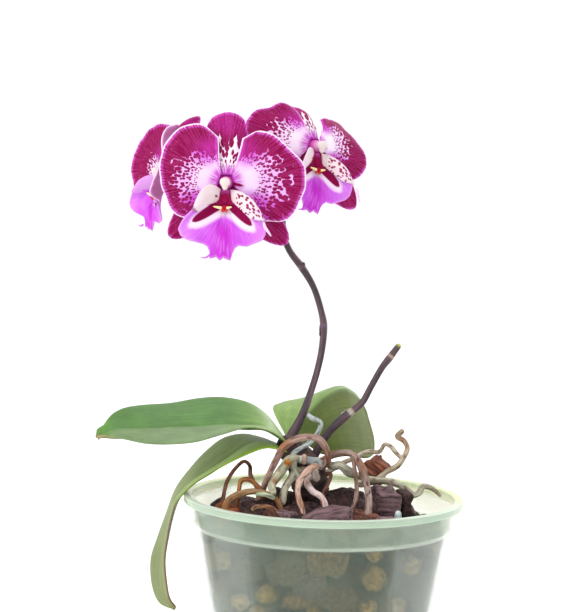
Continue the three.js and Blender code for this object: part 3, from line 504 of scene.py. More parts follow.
def paper_sweep():
    """Level, then a quarter circle of SWEEP_BEND, then upright: the same profile at each x."""
    turn = np.linspace(0, math.pi / 2, 24)
    bend = packed(SWEEP_BACK + SWEEP_BEND * np.sin(turn), SWEEP_BEND * (1 - np.cos(turn)))
    profile = np.vstack([[-SWEEP_HALF, 0], bend, [SWEEP_BACK + SWEEP_BEND, SWEEP_TOP]])
    return packed((-SWEEP_HALF, SWEEP_HALF), profile[:, :1], profile[:, 1:])


paper = Bench("white_paper", base_color=(0.97, 0.97, 0.97), roughness=0.9, specular_ior_level=0.1)
sweep_points = paper_sweep()
index = np.arange(sweep_points.shape[0] * 2).reshape(-1, 2)
sweep = {"points": sweep_points.reshape(-1, 3) / MM, "quads": quads_of(index)[:, ::-1]}
sweep.update(triangles=NO_FACES, marks={})
floor = bpy.data.objects.new("floor", mesh_of("floor", sweep))
floor.data.materials.append(paper.material)
bpy.context.scene.collection.objects.link(floor)
print("the sweep bends up", SWEEP_BACK, "m behind the pot")

# %% [markdown]
# ## The pot
#
# A nursery pot is moulded from thin, slightly milky plastic. One profile turned about the
# upright axis makes it: up the outside, over the lip, down the inside. A ledge below the collar
# lets such pots stack, and a lip turned out and down stiffens the rim. A moulding has no sharp
# corners, so each one becomes a short curve. The drain holes are cut by a Boolean, because six
# round holes in a turned floor have no simple grid.

# %% Pot measures
POT_HEIGHT = 115.0
POT_FOOT_RADIUS = 40.0
POT_RIM_RADIUS = 65.0
POT_WALL = 1.2
POT_FLOOR = 1.6
POT_SIDES = 180
LIP_DROP = 3.2
COLLAR_RADIUS = 61.2
COLLAR_TOP = 110.6
STEP_TOP = 102.3
STEP_BOTTOM = 99.8
WALL_TOP_RADIUS = 58.2
DRAIN_HOLES = 6
DRAIN_RADIUS = 4.0
DRAIN_CIRCLE = 26.0


def wall_radius(z):
    """Outer radius of the tapered wall: a straight line from foot to ledge."""
    return POT_FOOT_RADIUS + (WALL_TOP_RADIUS - POT_FOOT_RADIUS) * (z - 1) / (STEP_BOTTOM - 1)


print("the wall's radius grows by", round(WALL_TOP_RADIUS - POT_FOOT_RADIUS, 1), "mm")


# %% Pot profile
def rounded(corners, radius, count=5):
    """Each inner corner becomes a curve that starts and ends radius from it, or less where a
    side is short: (1-t)^2 start + 2t(1-t) corner + t^2 end."""
    corners = np.asarray(corners, float)
    t = np.linspace(0, 1, count)[:, None]
    runs = [corners[:1]]
    for before, corner, after in zip(corners[:-2], corners[1:-1], corners[2:]):
        back, on = before - corner, after - corner
        start = corner + back * min(0.45, radius / np.linalg.norm(back))
        end = corner + on * min(0.45, radius / np.linalg.norm(on))
        runs.append((1 - t) ** 2 * start + 2 * t * (1 - t) * corner + t**2 * end)
    return np.vstack([*runs, corners[-1:]])


def turned(profile, sides, bottom, top):
    """A profile of (radius, z) turned about the upright axis and closed at two poles."""
    turn = np.linspace(0, 2 * math.pi, sides, endpoint=False)
    out, height = profile[:, :1], profile[:, 1:]
    rings = packed(out * np.cos(turn), out * np.sin(turn), height)
    return closed_rings(rings, (0, 0, bottom), (0, 0, top))


def pot_profile():
    """Out across the underside, up the wall, over the lip and down the inside to the floor."""
    inner = wall_radius(STEP_BOTTOM) - POT_WALL
    skirt = POT_RIM_RADIUS - POT_WALL
    lip_foot = POT_HEIGHT - LIP_DROP
    outside = [(18, 0), (36, 0), (POT_FOOT_RADIUS - 0.4, 0), (POT_FOOT_RADIUS + 0.3, 3)]
    outside += [(wall_radius(z), z) for z in (25, 50, 75, STEP_BOTTOM - 1)]
    outside += [(WALL_TOP_RADIUS, STEP_BOTTOM), (COLLAR_RADIUS - 0.9, STEP_TOP)]
    outside += [(COLLAR_RADIUS, COLLAR_TOP), (COLLAR_RADIUS + 0.4, POT_HEIGHT - POT_WALL)]
    lip = [(skirt, POT_HEIGHT - POT_WALL), (skirt, lip_foot), (POT_RIM_RADIUS, lip_foot)]
    lip += [(POT_RIM_RADIUS, POT_HEIGHT), (COLLAR_RADIUS, POT_HEIGHT)]
    inside = [(COLLAR_RADIUS - POT_WALL, COLLAR_TOP), (COLLAR_RADIUS - POT_WALL - 0.9, STEP_TOP + 0.7)]
    inside += [(inner, STEP_BOTTOM)]
    inside += [(wall_radius(z) - POT_WALL, z) for z in (75, 50, 25, 6)]
    inside += [(wall_radius(POT_FLOOR) - POT_WALL, POT_FLOOR), (34, POT_FLOOR), (18, POT_FLOOR)]
    return rounded(outside + lip + inside, 0.55)


print("the pot's profile has", len(pot_profile()), "points")


# %% Drain holes
def drain_cutter():
    """Six short upright cylinders on a circle: each a ring of points at two heights."""
    holes = []
    for k in range(DRAIN_HOLES):
        turn = 2 * math.pi * k / DRAIN_HOLES
        ring = np.array([(DRAIN_RADIUS, -4), (DRAIN_RADIUS, 6)])
        points, quads, triangles = turned(ring, 40, -4, 6)
        points = points + [DRAIN_CIRCLE * math.cos(turn), DRAIN_CIRCLE * math.sin(turn), 0]
        holes.append(shell(points, quads, triangles))
    cutter = bpy.data.objects.new("drain_cutter", mesh_of("drain_cutter", joined(holes)))
    bpy.context.scene.collection.objects.link(cutter)
    return cutter


def cut_drains(piece):
    """Takes the cylinders out of the floor and keeps the result as the piece's own mesh."""
    cutter = drain_cutter()
    cut = piece.modifiers.new("drains", "BOOLEAN")
    cut.operation, cut.solver, cut.object = "DIFFERENCE", "EXACT", cutter
    seen = piece.evaluated_get(bpy.context.evaluated_depsgraph_get())
    mesh = bpy.data.meshes.new_from_object(seen)
    piece.modifiers.clear()
    piece.data = mesh
    bpy.data.objects.remove(cutter)


print(DRAIN_HOLES, "drain holes lie on a circle", 2 * DRAIN_CIRCLE, "mm across")


# %% [markdown]
# Milky plastic sends some light straight through, blurs most of it on the way and throws a
# little back as a pale green veil. One principled shader holds all three: alpha, transmission
# with some roughness, and the colour itself. At the lip and the ledge, where the moulding is
# thicker or is seen along its edge, a denser veil, a paler colour and more cover are painted,
# so those rings read as bright lines: a painted highlight. The height comes from the Object
# coordinates.
#
# The far half of the rim is lit from behind and looks warmer and clearer, and that backlight is
# painted into the plastic. Of two marks, one grows from the near side to the far one and paints
# the rings warmer there; the other does so on the collar's inner face only, where it paints a
# warm cream colour, a little more veil and less cover.

# %% Pot finish
LIP_GLOW = 0.9  # half widths of the bright rings, in millimetres
LEDGE_GLOW = 1.7
# The warm backlight on the far half is painted into the plastic's colour.
NEAR_SIDE = -30  # between these depths the warm light comes in
FAR_SIDE = 10
CLEAREST = 0.89  # transmission where there is no veil


def ring_glow(bench, height, middle, half):
    """1 at a height and 0 from half a width away from it, both given in millimetres."""
    away = bench.sum("ABSOLUTE", bench.sum("SUBTRACT", height, middle * MM))
    return bench.fade(away, 0.0, half * MM, 1.0, 0.0)


def painted_ring_highlight(bench, height):
    """Where the painted highlight lies, where the moulding is thicker or seen along its edge:
    1 at the lip's two edges and at the ledge, 0.45 between.
    """
    band = bench.fade(height, (COLLAR_TOP - 0.8) * MM, (COLLAR_TOP + 0.8) * MM, 0.0, 0.45)
    brim = ring_glow(bench, height, POT_HEIGHT, LIP_GLOW)
    hem = ring_glow(bench, height, POT_HEIGHT - LIP_DROP, LIP_GLOW)
    ledge = ring_glow(bench, height, STEP_BOTTOM + 1.2, LEDGE_GLOW)
    lip = bench.sum("MAXIMUM", band, bench.sum("MAXIMUM", brim, hem))
    return bench.sum("MAXIMUM", lip, ledge)


def plastic_finish():
    bench = Bench("milky_plastic", ior=1.42, specular_ior_level=0.16)
    place = bench.place()
    height = bench.apart(place, "Z")
    thick = painted_ring_highlight(bench, height)
    collar = bench.fade(height, (STEP_TOP - 1.5) * MM, (STEP_TOP + 1) * MM)
    inside, behind = bench.mark("inside"), bench.mark("behind")
    haze = bench.noise(place, 38.0, 4.0)
    veil = bench.fade(haze, 0.3, 0.75, 0.0, 0.06)
    # The veil grows on the rings as painted highlight, on the collar, and on the collar's far inner
    # face as painted backlight.
    for share, weight in ((thick, 0.4), (collar, 0.2), (inside, 0.12)):
        veil = bench.sum("ADD", veil, bench.sum("MULTIPLY", share, weight))
    # Painted backlight: warm cream on the collar's far inner face and warmer rings on the far half.
    # The rings' paler green is painted highlight.
    body = bench.mix(inside, "cae0ca", "faf6c6")
    rings = bench.mix(behind, "dfeedb", "eef3b8")
    bench.set(base_color=bench.mix(thick, body, rings))
    bench.set(transmission_weight=bench.sum("SUBTRACT", CLEAREST, veil))
    bench.set(roughness=bench.fade(haze, 0.35, 0.7, 0.14, 0.24))
    # More cover on the rings, part of the painted highlight.
    cover = bench.fade(thick, 0.0, 1.0, 0.52, 0.72)
    cover = bench.sum("ADD", cover, bench.sum("MULTIPLY", collar, 0.1))
    # Less cover on the collar's far inner face, part of the painted backlight.
    bench.set(alpha=bench.sum("SUBTRACT", cover, bench.sum("MULTIPLY", inside, 0.25)))
    return bench.material


def pot_marks(points):
    """Where the painted backlight lies. behind: from 0 on the near side to 1 on the far one;
    inside: the same, on the collar's inner face."""
    out = np.hypot(points[:, 0], points[:, 1])
    inner = (out < COLLAR_RADIUS - POT_WALL / 2) & (points[:, 2] > STEP_TOP - 0.5)
    behind = ease(points[:, 1], NEAR_SIDE, FAR_SIDE)
    return {"inside": inner * behind, "behind": behind}


made = shell(*turned(pot_profile(), POT_SIDES, 0, POT_FLOOR))
made["marks"] = pot_marks(made["points"])
pot = place_piece("fine_pot", made, plastic_finish(), "pot", "pot")
cut_drains(pot)
print("the pot has", len(pot.data.polygons), "faces with its drains cut")

# %% [markdown]
# ## The bark mix
#
# Orchids are planted in broken bark, loose enough for air. The heap could be one lumpy solid,
# but its charm is in the single chips, so it is built as it is poured: a core that is hardly
# seen, painted near-black as the shade deep between the chips, chips and clay pebbles round it
# against the wall, and chips over the top. A chip is a squared-off ball: its cosines are raised
# to a low power, which flattens its sides. Then its corners are pulled about, ripples along the
# grain roughen it, and steps break it into layers.
# Where a chip would pass through the wall, its points are drawn back, and it lies flat there.

# %% Room for the mix
AIR = 0.3
BED_FLAT = 99.5
BED_CROWN = 12.5
GOLDEN_ANGLE = math.pi * (3 - math.sqrt(5))


def bed_height(x, y):
    """Height of the heap: level at the wall, a broad hump that leans to the front."""
    return BED_FLAT + BED_CROWN * np.exp(-(((x + 6) / 41) ** 4) - ((y + 14) / 42) ** 4)


def within_wall(points, gap=AIR):
    """Draws points back towards the axis where they would pass through the pot's wall."""
    z = np.clip(points[:, 2], POT_FLOOR, STEP_BOTTOM)
    most = wall_radius(z) - POT_WALL - gap
    most = np.where(points[:, 2] > STEP_TOP, COLLAR_RADIUS - POT_WALL - 0.9 - gap, most)
    out = np.hypot(points[:, 0], points[:, 1])
    points[:, :2] *= np.minimum(1, most / np.maximum(out, 1e-6))[:, None]
    points[:, 2] = np.maximum(points[:, 2], POT_FLOOR + gap)
    return points


print("the heap's crown is at", round(float(bed_height(0, 0)), 1), "mm")


# %% A bark chip
def turned_axes(angles):
    """Rotation matrix from turns about x, y and z, in radians."""
    spins = [np.array(Matrix.Rotation(a, 3, axis)) for a, axis in zip(angles, "XYZ")]
    return spins[0] @ spins[1] @ spins[2]


def squared_ball(rows, columns, power):
    """Unit ball with its sines and cosines raised to a power below 1, which squares it off."""
    lean = np.linspace(-math.pi / 2, math.pi / 2, rows + 2)[1:-1, None]
    spin = np.linspace(0, 2 * math.pi, columns, endpoint=False)[None, :]
    bent = lambda value: np.sign(value) * np.abs(value) ** power
    out = bent(np.cos(lean))
    return packed(out * bent(np.cos(spin)), out * bent(np.sin(spin)), bent(np.sin(lean)))


BARK_LAYER = 2.6  # thickness of a layer, and how far faces step to the nearest one
LAYER_STEP = 0.3
RIDGE_DEPTH = 0.17


def bark_chip(centre, size, angles, tone, seed, rows=6, columns=9):
    """A squared ball of a size, its corners pulled about, rippled along the grain, broken into
    layers, turned and set down. The grain runs along the chip's own x axis."""
    draw = np.random.default_rng(seed)
    ball = squared_ball(rows, columns, 0.5)
    points, quads, triangles = closed_rings(ball, (0, 0, -1), (0, 0, 1))
    pull = draw.uniform(-0.22, 0.22, (3, 3))
    local = points * (1 + (points @ pull) * 0.6)
    local = local * np.array(size) / 2
    ridges = lumps(local * [0.35, 1, 1], 3.2, seed + 1)
    swell = 0.045 * np.mean(size) * lumps(local, 7, seed)
    local += points * (swell + RIDGE_DEPTH * ridges)[:, None]
    nearest = np.round(local[:, 2] / BARK_LAYER) * BARK_LAYER
    local[:, 2] += LAYER_STEP * (nearest - local[:, 2])
    world = local @ turned_axes(angles).T + centre
    paint = np.tile(tone, (len(points), 1)) * (1 + 0.12 * ridges)[:, None]
    return shell(within_wall(world), quads, triangles, grain=local + seed % 97, paint=paint)


DARK_BARK = colour("3a2726")
RED_BARK = colour("623a2d")
GREY_BARK = colour("6d5559")
BLACK_BARK = colour("1f1516")
WARM_BARK = colour("7c4a38")
RUSTY_BARK = colour("84492b")


def chip_tone(draw):
    """A chip is dark, red-brown, purple-grey or nearly black."""
    kinds = [DARK_BARK, RED_BARK, GREY_BARK, BLACK_BARK]
    return kinds[draw.choice(4, p=[0.44, 0.1, 0.22, 0.24])] * draw.uniform(0.75, 1.2)


print("bark breaks into layers", BARK_LAYER, "mm thick")

# %% Where the pebbles lie
# A pebble: its bearing from the front in degrees, its height and its radius. Those that are
# solids of their own come first, then those in front that belong to the mix.
CLAY_PEBBLES = [
    (27, 86, 6.2), (51, 90, 4.4), (-31, 77, 4.6), (-57, 89, 4.2), (25, 73, 4.4), (45, 71, 4.6),
    (150, 80, 5.4),
]
MIXED_PEBBLES = [
    (-4, 69, 4.4), (25, 97.5, 3.6), (-50, 71, 4.4), (-38, 67, 3.8), (8, 56, 5), (-20, 50, 4.4),
    (38, 52, 5.2), (-60, 46, 4.6), (64, 60, 4.4), (14, 34, 4.6), (-34, 30, 5), (50, 30, 4),
    (-8, 16, 4.4), (28, 14, 4.8),
]
# The far side has eighteen more, spread by a formula.
MIXED_PEBBLES += [(95 + 137.5 * k % 170, 12 + 4.6 * k, 3.6 + 0.3 * (k % 5)) for k in range(18)]


def pebble_centre(bearing, z, radius):
    """Just inside the wall, at a bearing in degrees from the front."""
    turn = math.radians(bearing - 90)
    out = wall_radius(z) - POT_WALL - AIR - 0.3 - radius
    return out * math.cos(turn), out * math.sin(turn), z


def room_for(place):
    """How far a chip at a place must draw in, so that it hides no pebble: 5.5 mm where the
    nearest pebble's skin is within 5 mm, and nothing from 7.5 mm on."""
    pebbles = CLAY_PEBBLES + MIXED_PEBBLES
    nearest = min(math.dist(place, pebble_centre(*spot)) - spot[2] for spot in pebbles)
    return 5.5 * float(ease(-np.float64(nearest), -7.5, -5))


print(len(CLAY_PEBBLES + MIXED_PEBBLES), "pebbles lie against the wall")

# %% Chips against the wall
WALL_CHIPS = 190
CHIP_DEPTH = 3.4  # from the wall to a chip's middle
LOWEST_CHIP = 5  # the chips' middles rise from here by this much
CHIPS_RISE = 94


def wall_tone(draw):
    """Behind the wall the chips stay damp: brown, grey-brown, red-grey or two dark ones."""
    kinds = [colour(code) for code in ("7d5b3f", "7a6656", "5f4745", "35221f", "4e3a31")]
    return kinds[draw.choice(5, p=[0.2, 0.16, 0.2, 0.24, 0.2])] * draw.uniform(0.6, 1.4)


def wall_chips():
    """Chips all round against the wall, each turned on by the golden angle and a little up.
    Every fifth one lies flat against it."""
    draw = np.random.default_rng(11)
    chips = []
    for k in range(WALL_CHIPS):
        turn = GOLDEN_ANGLE * k
        z = LOWEST_CHIP + CHIPS_RISE * (k + 0.5) / WALL_CHIPS
        out = wall_radius(z) - POT_WALL - CHIP_DEPTH
        out -= room_for((out * math.cos(turn), out * math.sin(turn), z))
        centre = (out * math.cos(turn), out * math.sin(turn), z)
        size = draw.uniform((6, 13, 10), (9, 21, 15))
        angles = (draw.uniform(-0.5, 0.5), draw.uniform(-0.3, 0.3), turn)
        angles = (0, 0, turn) if k % 5 == 0 else angles
        chips.append(bark_chip(centre, size, angles, wall_tone(draw), 300 + k))
    return joined(chips)


print(WALL_CHIPS, "chips show through the wall")

# %% Chips on the heap
HEAP_CHIPS = 74
HEAP_RADIUS = 52


def heap_chips():
    """Chips poured over the top, in a sunflower pattern, each tipped a little at random."""
    draw = np.random.default_rng(5)
    chips = []
    for k in range(HEAP_CHIPS):
        out = HEAP_RADIUS * math.sqrt((k + 0.5) / HEAP_CHIPS)
        turn = GOLDEN_ANGLE * k
        x, y = out * math.cos(turn) - 1, out * math.sin(turn) - 2
        centre = (x, y, bed_height(x, y) - 1.5 + draw.uniform(-1.5, 1.5))
        size = draw.uniform((12, 9, 6), (21, 14, 10))
        angles = (draw.uniform(-0.6, 0.6), draw.uniform(-0.5, 0.5), draw.uniform(0, 6))
        chips.append(bark_chip(centre, size, angles, chip_tone(draw), 700 + k, 18, 26))
    return joined(chips)


print(HEAP_CHIPS, "chips lie on top")

# %% The core
CORE_GAP = 5  # how far the core keeps from the wall, and how far below the heap's top
CORE_DROP = 4
CORE_FLOOR = 2.1


def bed_core():
    """What fills the middle, painted near-black as shade for the gaps between chips: the inside of
    the pot drawn in, under the heap drawn down. Each ring has a share of the radius and a level;
    level 0 stands for the heap's own height."""
    turn = np.linspace(0, 2 * math.pi, 72, endpoint=False)
    share = np.array([0.15, 0.35, 0.55, 0.75, 0.92, 1, 1, 1, 1, 0.8, 0.4])
    level = np.array([0, 0, 0, 0, 0, 98, 70, 38, 5, 2.2, CORE_FLOOR])
    out = share * (wall_radius(np.where(level, level, BED_FLAT)) - POT_WALL - CORE_GAP)
    x, y = out[:, None] * np.cos(turn), out[:, None] * np.sin(turn)
    top = bed_height(x, y) - CORE_DROP
    rings = packed(x, y, np.where(level[:, None] > 0, level[:, None], top))
    crown = bed_height(0, 0) - CORE_DROP
    points, quads, triangles = closed_rings(rings, (0, 0, crown), (0, 0, CORE_FLOOR))
    # Painted shade: the core is near-black, so the gaps between the chips read as shade deep in the
    # mix.
    paint = np.tile(BLACK_BARK, (len(points), 1))
    return shell(points, quads, triangles, grain=points.copy(), paint=paint)


print("the core keeps", CORE_GAP, "mm from the wall")

# %% A pebble
ORANGE_CLAY = colour("b0834e")
DUN_CLAY = colour("937248")


def pebble(centre, radius, seed, rows, columns):
    """A fired clay ball, a little flattened: a round ball pushed in and out by lumps."""
    ball = squared_ball(rows, columns, 1.0)
    points, quads, triangles = closed_rings(ball, (0, 0, -1), (0, 0, 1))
    bumpy = 1 + 0.09 * lumps(points, 1.3, seed) + 0.04 * lumps(points, 0.6, seed + 1)
    world = points * bumpy[:, None] * radius * [1, 1, 0.94] + centre
    draw = np.random.default_rng(seed)
    tone = tint(draw.uniform(0, 1), ORANGE_CLAY, DUN_CLAY) * draw.uniform(0.75, 1.15)
    return shell(within_wall(world), quads, triangles, paint=np.tile(tone, (len(points), 1)))


print("the largest pebble is", 2 * max(radius for *_, radius in CLAY_PEBBLES), "mm across")


# %% [markdown]
# Bark is rough, matt and streaked along the grain; fresh breaks are red, weathered faces purple
# and grey. Each chip carries its own tone as a mark, and the noise reads the chip's own
# coordinates, so the grain turns with the chip. Clay pebbles are plain: a fired skin with
# pores. Both take their depth from bump, because the roughness is finer than the mesh.

# %% Bark and clay finishes


def bark_finish(name, wear):
    bench = Bench(name, roughness=0.82, specular_ior_level=0.25)
    grain = bench.mark("grain", "Vector")
    fibres = bench.noise(bench.stretch(grain, (0.12, 0.75, 0.75)), 1.0, 6.0)
    crumbs = bench.noise(grain, 0.9, 5.0)
    lit = bench.fade(fibres, 0.3, 0.72, 1.0 - wear, 1.0 + wear)
    toned = bench.mix(1.0, bench.mark("paint", "Color"), lit, "MULTIPLY")
    worn = bench.fade(crumbs, 0.56, 0.72, 0.0, wear)
    bench.set(base_color=bench.mix(worn, toned, "7d5a55"))
    bench.bump(bench.sum("ADD", fibres, bench.sum("MULTIPLY", crumbs, 0.6)), 0.0012, 0.9)
    return bench.material


def clay_finish():
    bench = Bench("fired_clay", roughness=0.8, specular_ior_level=0.25)
    pores = bench.noise(bench.place(), 480.0, 5.0)
    shade = bench.fade(pores, 0.34, 0.62, 0.45, 1.15)
    bench.set(base_color=bench.mix(1.0, bench.mark("paint", "Color"), shade, "MULTIPLY"))
    bench.bump(pores, 0.0005, 0.7)
    return bench.material


bark = bark_finish("broken_bark", 0.55)
soaked = bark_finish("soaked_bark", 0.4)
clay = clay_finish()
place_piece("fine_bed_core", bed_core(), bark, "bark", "bark_bed")
place_piece("fine_wall_chips", wall_chips(), soaked, "bark", "bark_bed")
place_piece("fine_heap_chips", heap_chips(), bark, "bark", "bark_bed")

# %% [markdown]
# Five larger chips lie loose on the heap, and seven pebbles press against the wall. They keep
# the places and sizes of their solids.

# %% Loose chips and pebbles
LOOSE_CHIPS = [
    ("bark_chip_leaning", (24, 5.5, 126.6), (11, 9, 12), (0.2, 0.6, -0.3), WARM_BARK, "bark_red"),
    ("bark_chip_right", (27.5, -15, 115.2), (13, 13, 14), (0.1, 0.1, 0.35), GREY_BARK, "bark_grey"),
    ("bark_chip_front", (1, -45, 110.4), (22, 12, 12), (0.3, -0.15, 0.1), GREY_BARK, "bark_grey"),
    ("bark_chip_round", (37, -6, 113.5), (7, 9, 12), (0.2, 0.1, 0.5), DARK_BARK, "bark"),
    ("bark_chip_left", (-41, -27, 109.6), (17, 10, 7), (0.1, 0.25, -0.5), RUSTY_BARK, "bark_red"),
]


def more_pebbles():
    """The pebbles that are part of the mix."""
    spots = enumerate(MIXED_PEBBLES)
    return joined([pebble(pebble_centre(*spot), spot[2], 900 + k, 9, 14) for k, spot in spots])


for seed, (node, centre, size, angles, tone, slot) in enumerate(LOOSE_CHIPS):
    chip = bark_chip(centre, size, angles, tone, 40 + seed, 40, 56)
    place_piece(f"fine_{node}", chip, bark, slot, node)
for k, (bearing, z, radius) in enumerate(CLAY_PEBBLES, 1):
    ball = pebble(pebble_centre(bearing, z, radius), radius, 60 + k, 24, 36)
    place_piece(f"fine_clay_pebble_{k}", ball, clay, "clay", f"clay_pebble_{k}")
place_piece("fine_more_pebbles", more_pebbles(), clay, "clay", "bark_bed")

# %% [markdown]
# ## Air roots
#
# An orchid's air roots are cords two to four millimetres thick in a spongy, silvery skin. As
# they dry the skin wrinkles, turns pink and brown and flakes off. Each root is a limb through
# the same stations as its solid. Its skin swells and shrinks slowly along the root, and sharper
# ripples run lengthwise round it. The paint mixes its dry colours by lumps that are stretched
# along the root, so patches run the way the root does.

# %% Root stations
ROOTS = [
    ("arch", "pink", [
        (-33, -12, 106, 1.7), (-29, -14, 117, 1.6), (-26, -17, 125.5, 1.5), (-22.5, -20, 134, 1.6),
        (-18.5, -21, 141, 1.7), (-11, -21, 145, 1.6), (-3.5, -20, 144.5, 1.6), (0.5, -17, 139, 1.6),
        (1.2, -13, 133.5, 1.6), (-2, -8, 129, 1.6),
    ]),
    ("drooping", "brown", [
        (-3, -5, 131, 1.6), (2, -9, 134.5, 1.6), (6, -11, 136.5, 1.6), (12, -13, 137, 1.6),
        (15.5, -16, 133.5, 1.8), (18.3, -20, 127, 1.9), (20, -24, 120.5, 1.6), (19.8, -30, 114, 1.7),
        (19, -36, 107, 1.7),
    ]),
    ("strand", "brown", [
        (12.4, -14.8, 136.2, 0.9), (13.2, -17, 132.9, 0.9), (14, -19.5, 128, 1),
        (14.6, -22.5, 123, 1), (14.4, -25.5, 119, 1), (13, -29, 114.5, 1), (11.5, -33, 108, 1),
    ]),
    ("long", "pale", [
        (-6, -4, 131, 1.9), (-1, -7, 132, 1.9), (4, -10, 130.5, 1.9), (7, -13, 131.5, 1.9),
        (10.5, -12, 129, 2.2), (14, -8, 126.5, 1.7), (21, -5, 124, 1.5), (29, -3, 123, 1.5),
        (34, -1, 121.5, 1.6), (38, 2, 119, 1.5), (42.5, 4, 115.5, 1.4), (45, 5, 116.5, 1.3),
        (47, 6, 119.5, 1.3), (51, 7, 118.5, 1.2), (55.5, 8, 114.5, 0.8),
    ]),
    ("curl", "pale", [
        (-4, 3, 123.5, 1.4), (3, 4.5, 126, 1.3), (9, 6, 129.5, 1.2), (14, 8, 131.5, 1.1),
        (20.5, 14, 134, 1.1), (26, 14, 134, 1), (28.5, 11, 138, 1), (31, 9, 137.5, 1),
        (34, 7, 134.5, 1), (37.5, 5, 132, 1),
    ]),
    ("hook", "pale", [
        (16, 1, 120, 1.4), (24, 0, 122.5, 1.4), (29, -1, 127, 1.4), (34, -1, 130, 1.4),
        (37, 0, 134, 1.3), (38.5, 2, 138, 1.3), (37, 4, 141, 1.2), (34, 4, 143, 1.3),
        (36.5, 2, 146.5, 1.2),
    ]),
    ("thin_loop", "brown", [
        (-47.5, -19, 102, 1), (-46, -16, 116.5, 0.9), (-44.5, -14, 123, 0.9),
        (-41, -11, 128.5, 0.9), (-37, -9, 131.5, 0.9), (-34.5, -8, 129.5, 0.9),
        (-34, -8, 125, 0.9), (-32, -8, 121, 1), (-26, -6, 113, 1),
    ]),
    ("orange", "brown", [
        (-40, -22, 105, 1.1), (-39, -22, 120, 1), (-38, -20.5, 124.5, 1), (-35, -19, 124.8, 1),
        (-32, -18, 123, 1), (-29, -19, 119.5, 1.2), (-27, -20, 110, 1.2),
    ]),
    ("flat", "brown", [
        (-46.5, -31, 103, 1.6), (-44, -28, 115.5, 1.5), (-40, -27, 118.5, 1.5),
        (-36, -26, 120, 1.4), (-31, -25, 120.5, 1.4), (-27, -24.5, 119.5, 1.4),
        (-22, -25, 117, 1.4), (-18, -26, 108, 1.4),
    ]),
    ("pale_front", "pale", [
        (-11, -7, 133, 2), (-16, -12, 133.5, 2), (-19, -16, 130, 2.1), (-22, -19.5, 126, 2.1),
        (-24, -22, 123, 1.9), (-23, -27, 119.5, 1.4),
    ]),
    ("pale_side", "pale", [
        (-8, -6, 128, 1.9), (-13, -11, 127.5, 1.9), (-15.5, -15, 124.5, 1.9),
        (-18, -19, 121, 1.8), (-19, -23, 114, 1.5),
    ]),
    ("pink_hook", "pink", [
        (-3, -22, 132.5, 2), (-7, -24.5, 131, 1.6), (-11, -28, 127, 1.4),
        (-12.3, -30.5, 123.5, 1.3), (-11.6, -33.5, 119, 1.2), (-10, -36.5, 114.5, 1.2),
        (-9.4, -39, 108.5, 1.2),
    ]),
    ("pink_front", "pink", [
        (-4, -7, 127, 1.6), (-4.5, -15, 128, 1.5), (-8, -22, 125, 1.5), (-5.5, -27, 121.5, 1.5),
        (-2, -30, 120, 1.4), (0, -33, 117.5, 1.4), (0.8, -36, 113.5, 1.3),
        (1.8, -38.5, 107.5, 1.3),
    ]),
    ("silver", "pale", [
        (-12, -5, 131, 1.5), (-14.5, -5.5, 134.5, 1.3), (-12, -5, 137, 1.2), (-8, -4, 139.5, 1.2),
        (-5, -3.5, 142.5, 1.1), (-3, -3, 145.5, 1.1), (-2, -3, 149, 1.1), (-4, -4, 151, 1.2),
        (-6, -4, 151.5, 1.2), (-8.5, -4.5, 153.5, 0.9),
    ]),
    ("bent_front", "brown", [
        (-34, -31, 107, 1.1), (-31.5, -34.5, 114.5, 1), (-28.5, -36.5, 115.6, 1),
        (-25, -36.8, 115.6, 1), (-22, -37.5, 114, 1), (-20.8, -39.5, 110.5, 1), (-20.8, -41, 104, 1),
    ]),
    ("short_brown", "brown", [
        (0, -6, 126, 1.1), (3, -9.5, 126.5, 1), (2, -12, 123, 0.9), (0, -14, 119, 0.9),
        (-1, -15, 112, 0.9),
    ]),
]
print(len(ROOTS), "air roots")

# %% [markdown]
# No two roots dried alike, so each has three tones of its own: its light skin, its usual one
# and the dark one where flakes came off. Some are rust brown along a stretch or two, given by
# its middle and its half length along the root. Round the foot of the stem lie small pieces of
# root: stubs, a broken end with its orange core, a pale tip. Together they are one piece.

# %% Root tones and small pieces
RUST = colour("93592f")
ROOT_TONES = {
    "arch": ("b3968a", "997a6f", "74564a"), "drooping": ("a38e85", "80685e", "54403a"),
    "strand": ("94796f", "73584f", "4a3630"), "long": ("bebaa7", "a59b85", "80725b"),
    "curl": ("c8bca8", "ad9c84", "846e58"), "hook": ("c2b59e", "a8967d", "7e664d"),
    "thin_loop": ("7c5242", "5c3729", "3a231b"), "orange": ("ac733f", "8c5532", "5a3520"),
    "flat": ("a8865f", "8b6946", "5e432f"), "pale_front": ("cac8ab", "adab90", "8a8468"),
    "pale_side": ("c3bea8", "a79d87", "827660"), "pink_hook": ("dabaa9", "c5a193", "946e5c"),
    "pink_front": ("ddc8c6", "c6aaa4", "9a7a74"), "silver": ("c0cbc7", "a5afab", "80888a"),
    "bent_front": ("b0896c", "8f6a4e", "60442f"), "short_brown": ("8d6452", "6f4838", "482d23"),
}
ROOT_RUST = {
    "arch": ((39, 5), (66, 6), (2, 6)), "drooping": ((28, 6), (4, 5)), "flat": ((10, 7), (38, 6)),
    "pale_front": ((1, 3), (22, 2)), "thin_loop": ((24, 5),), "pink_hook": ((3, 2.5), (24, 4)),
    "hook": ((35, 6),), "orange": ((24, 8),), "bent_front": ((18, 6),), "long": ((84, 8),),
}
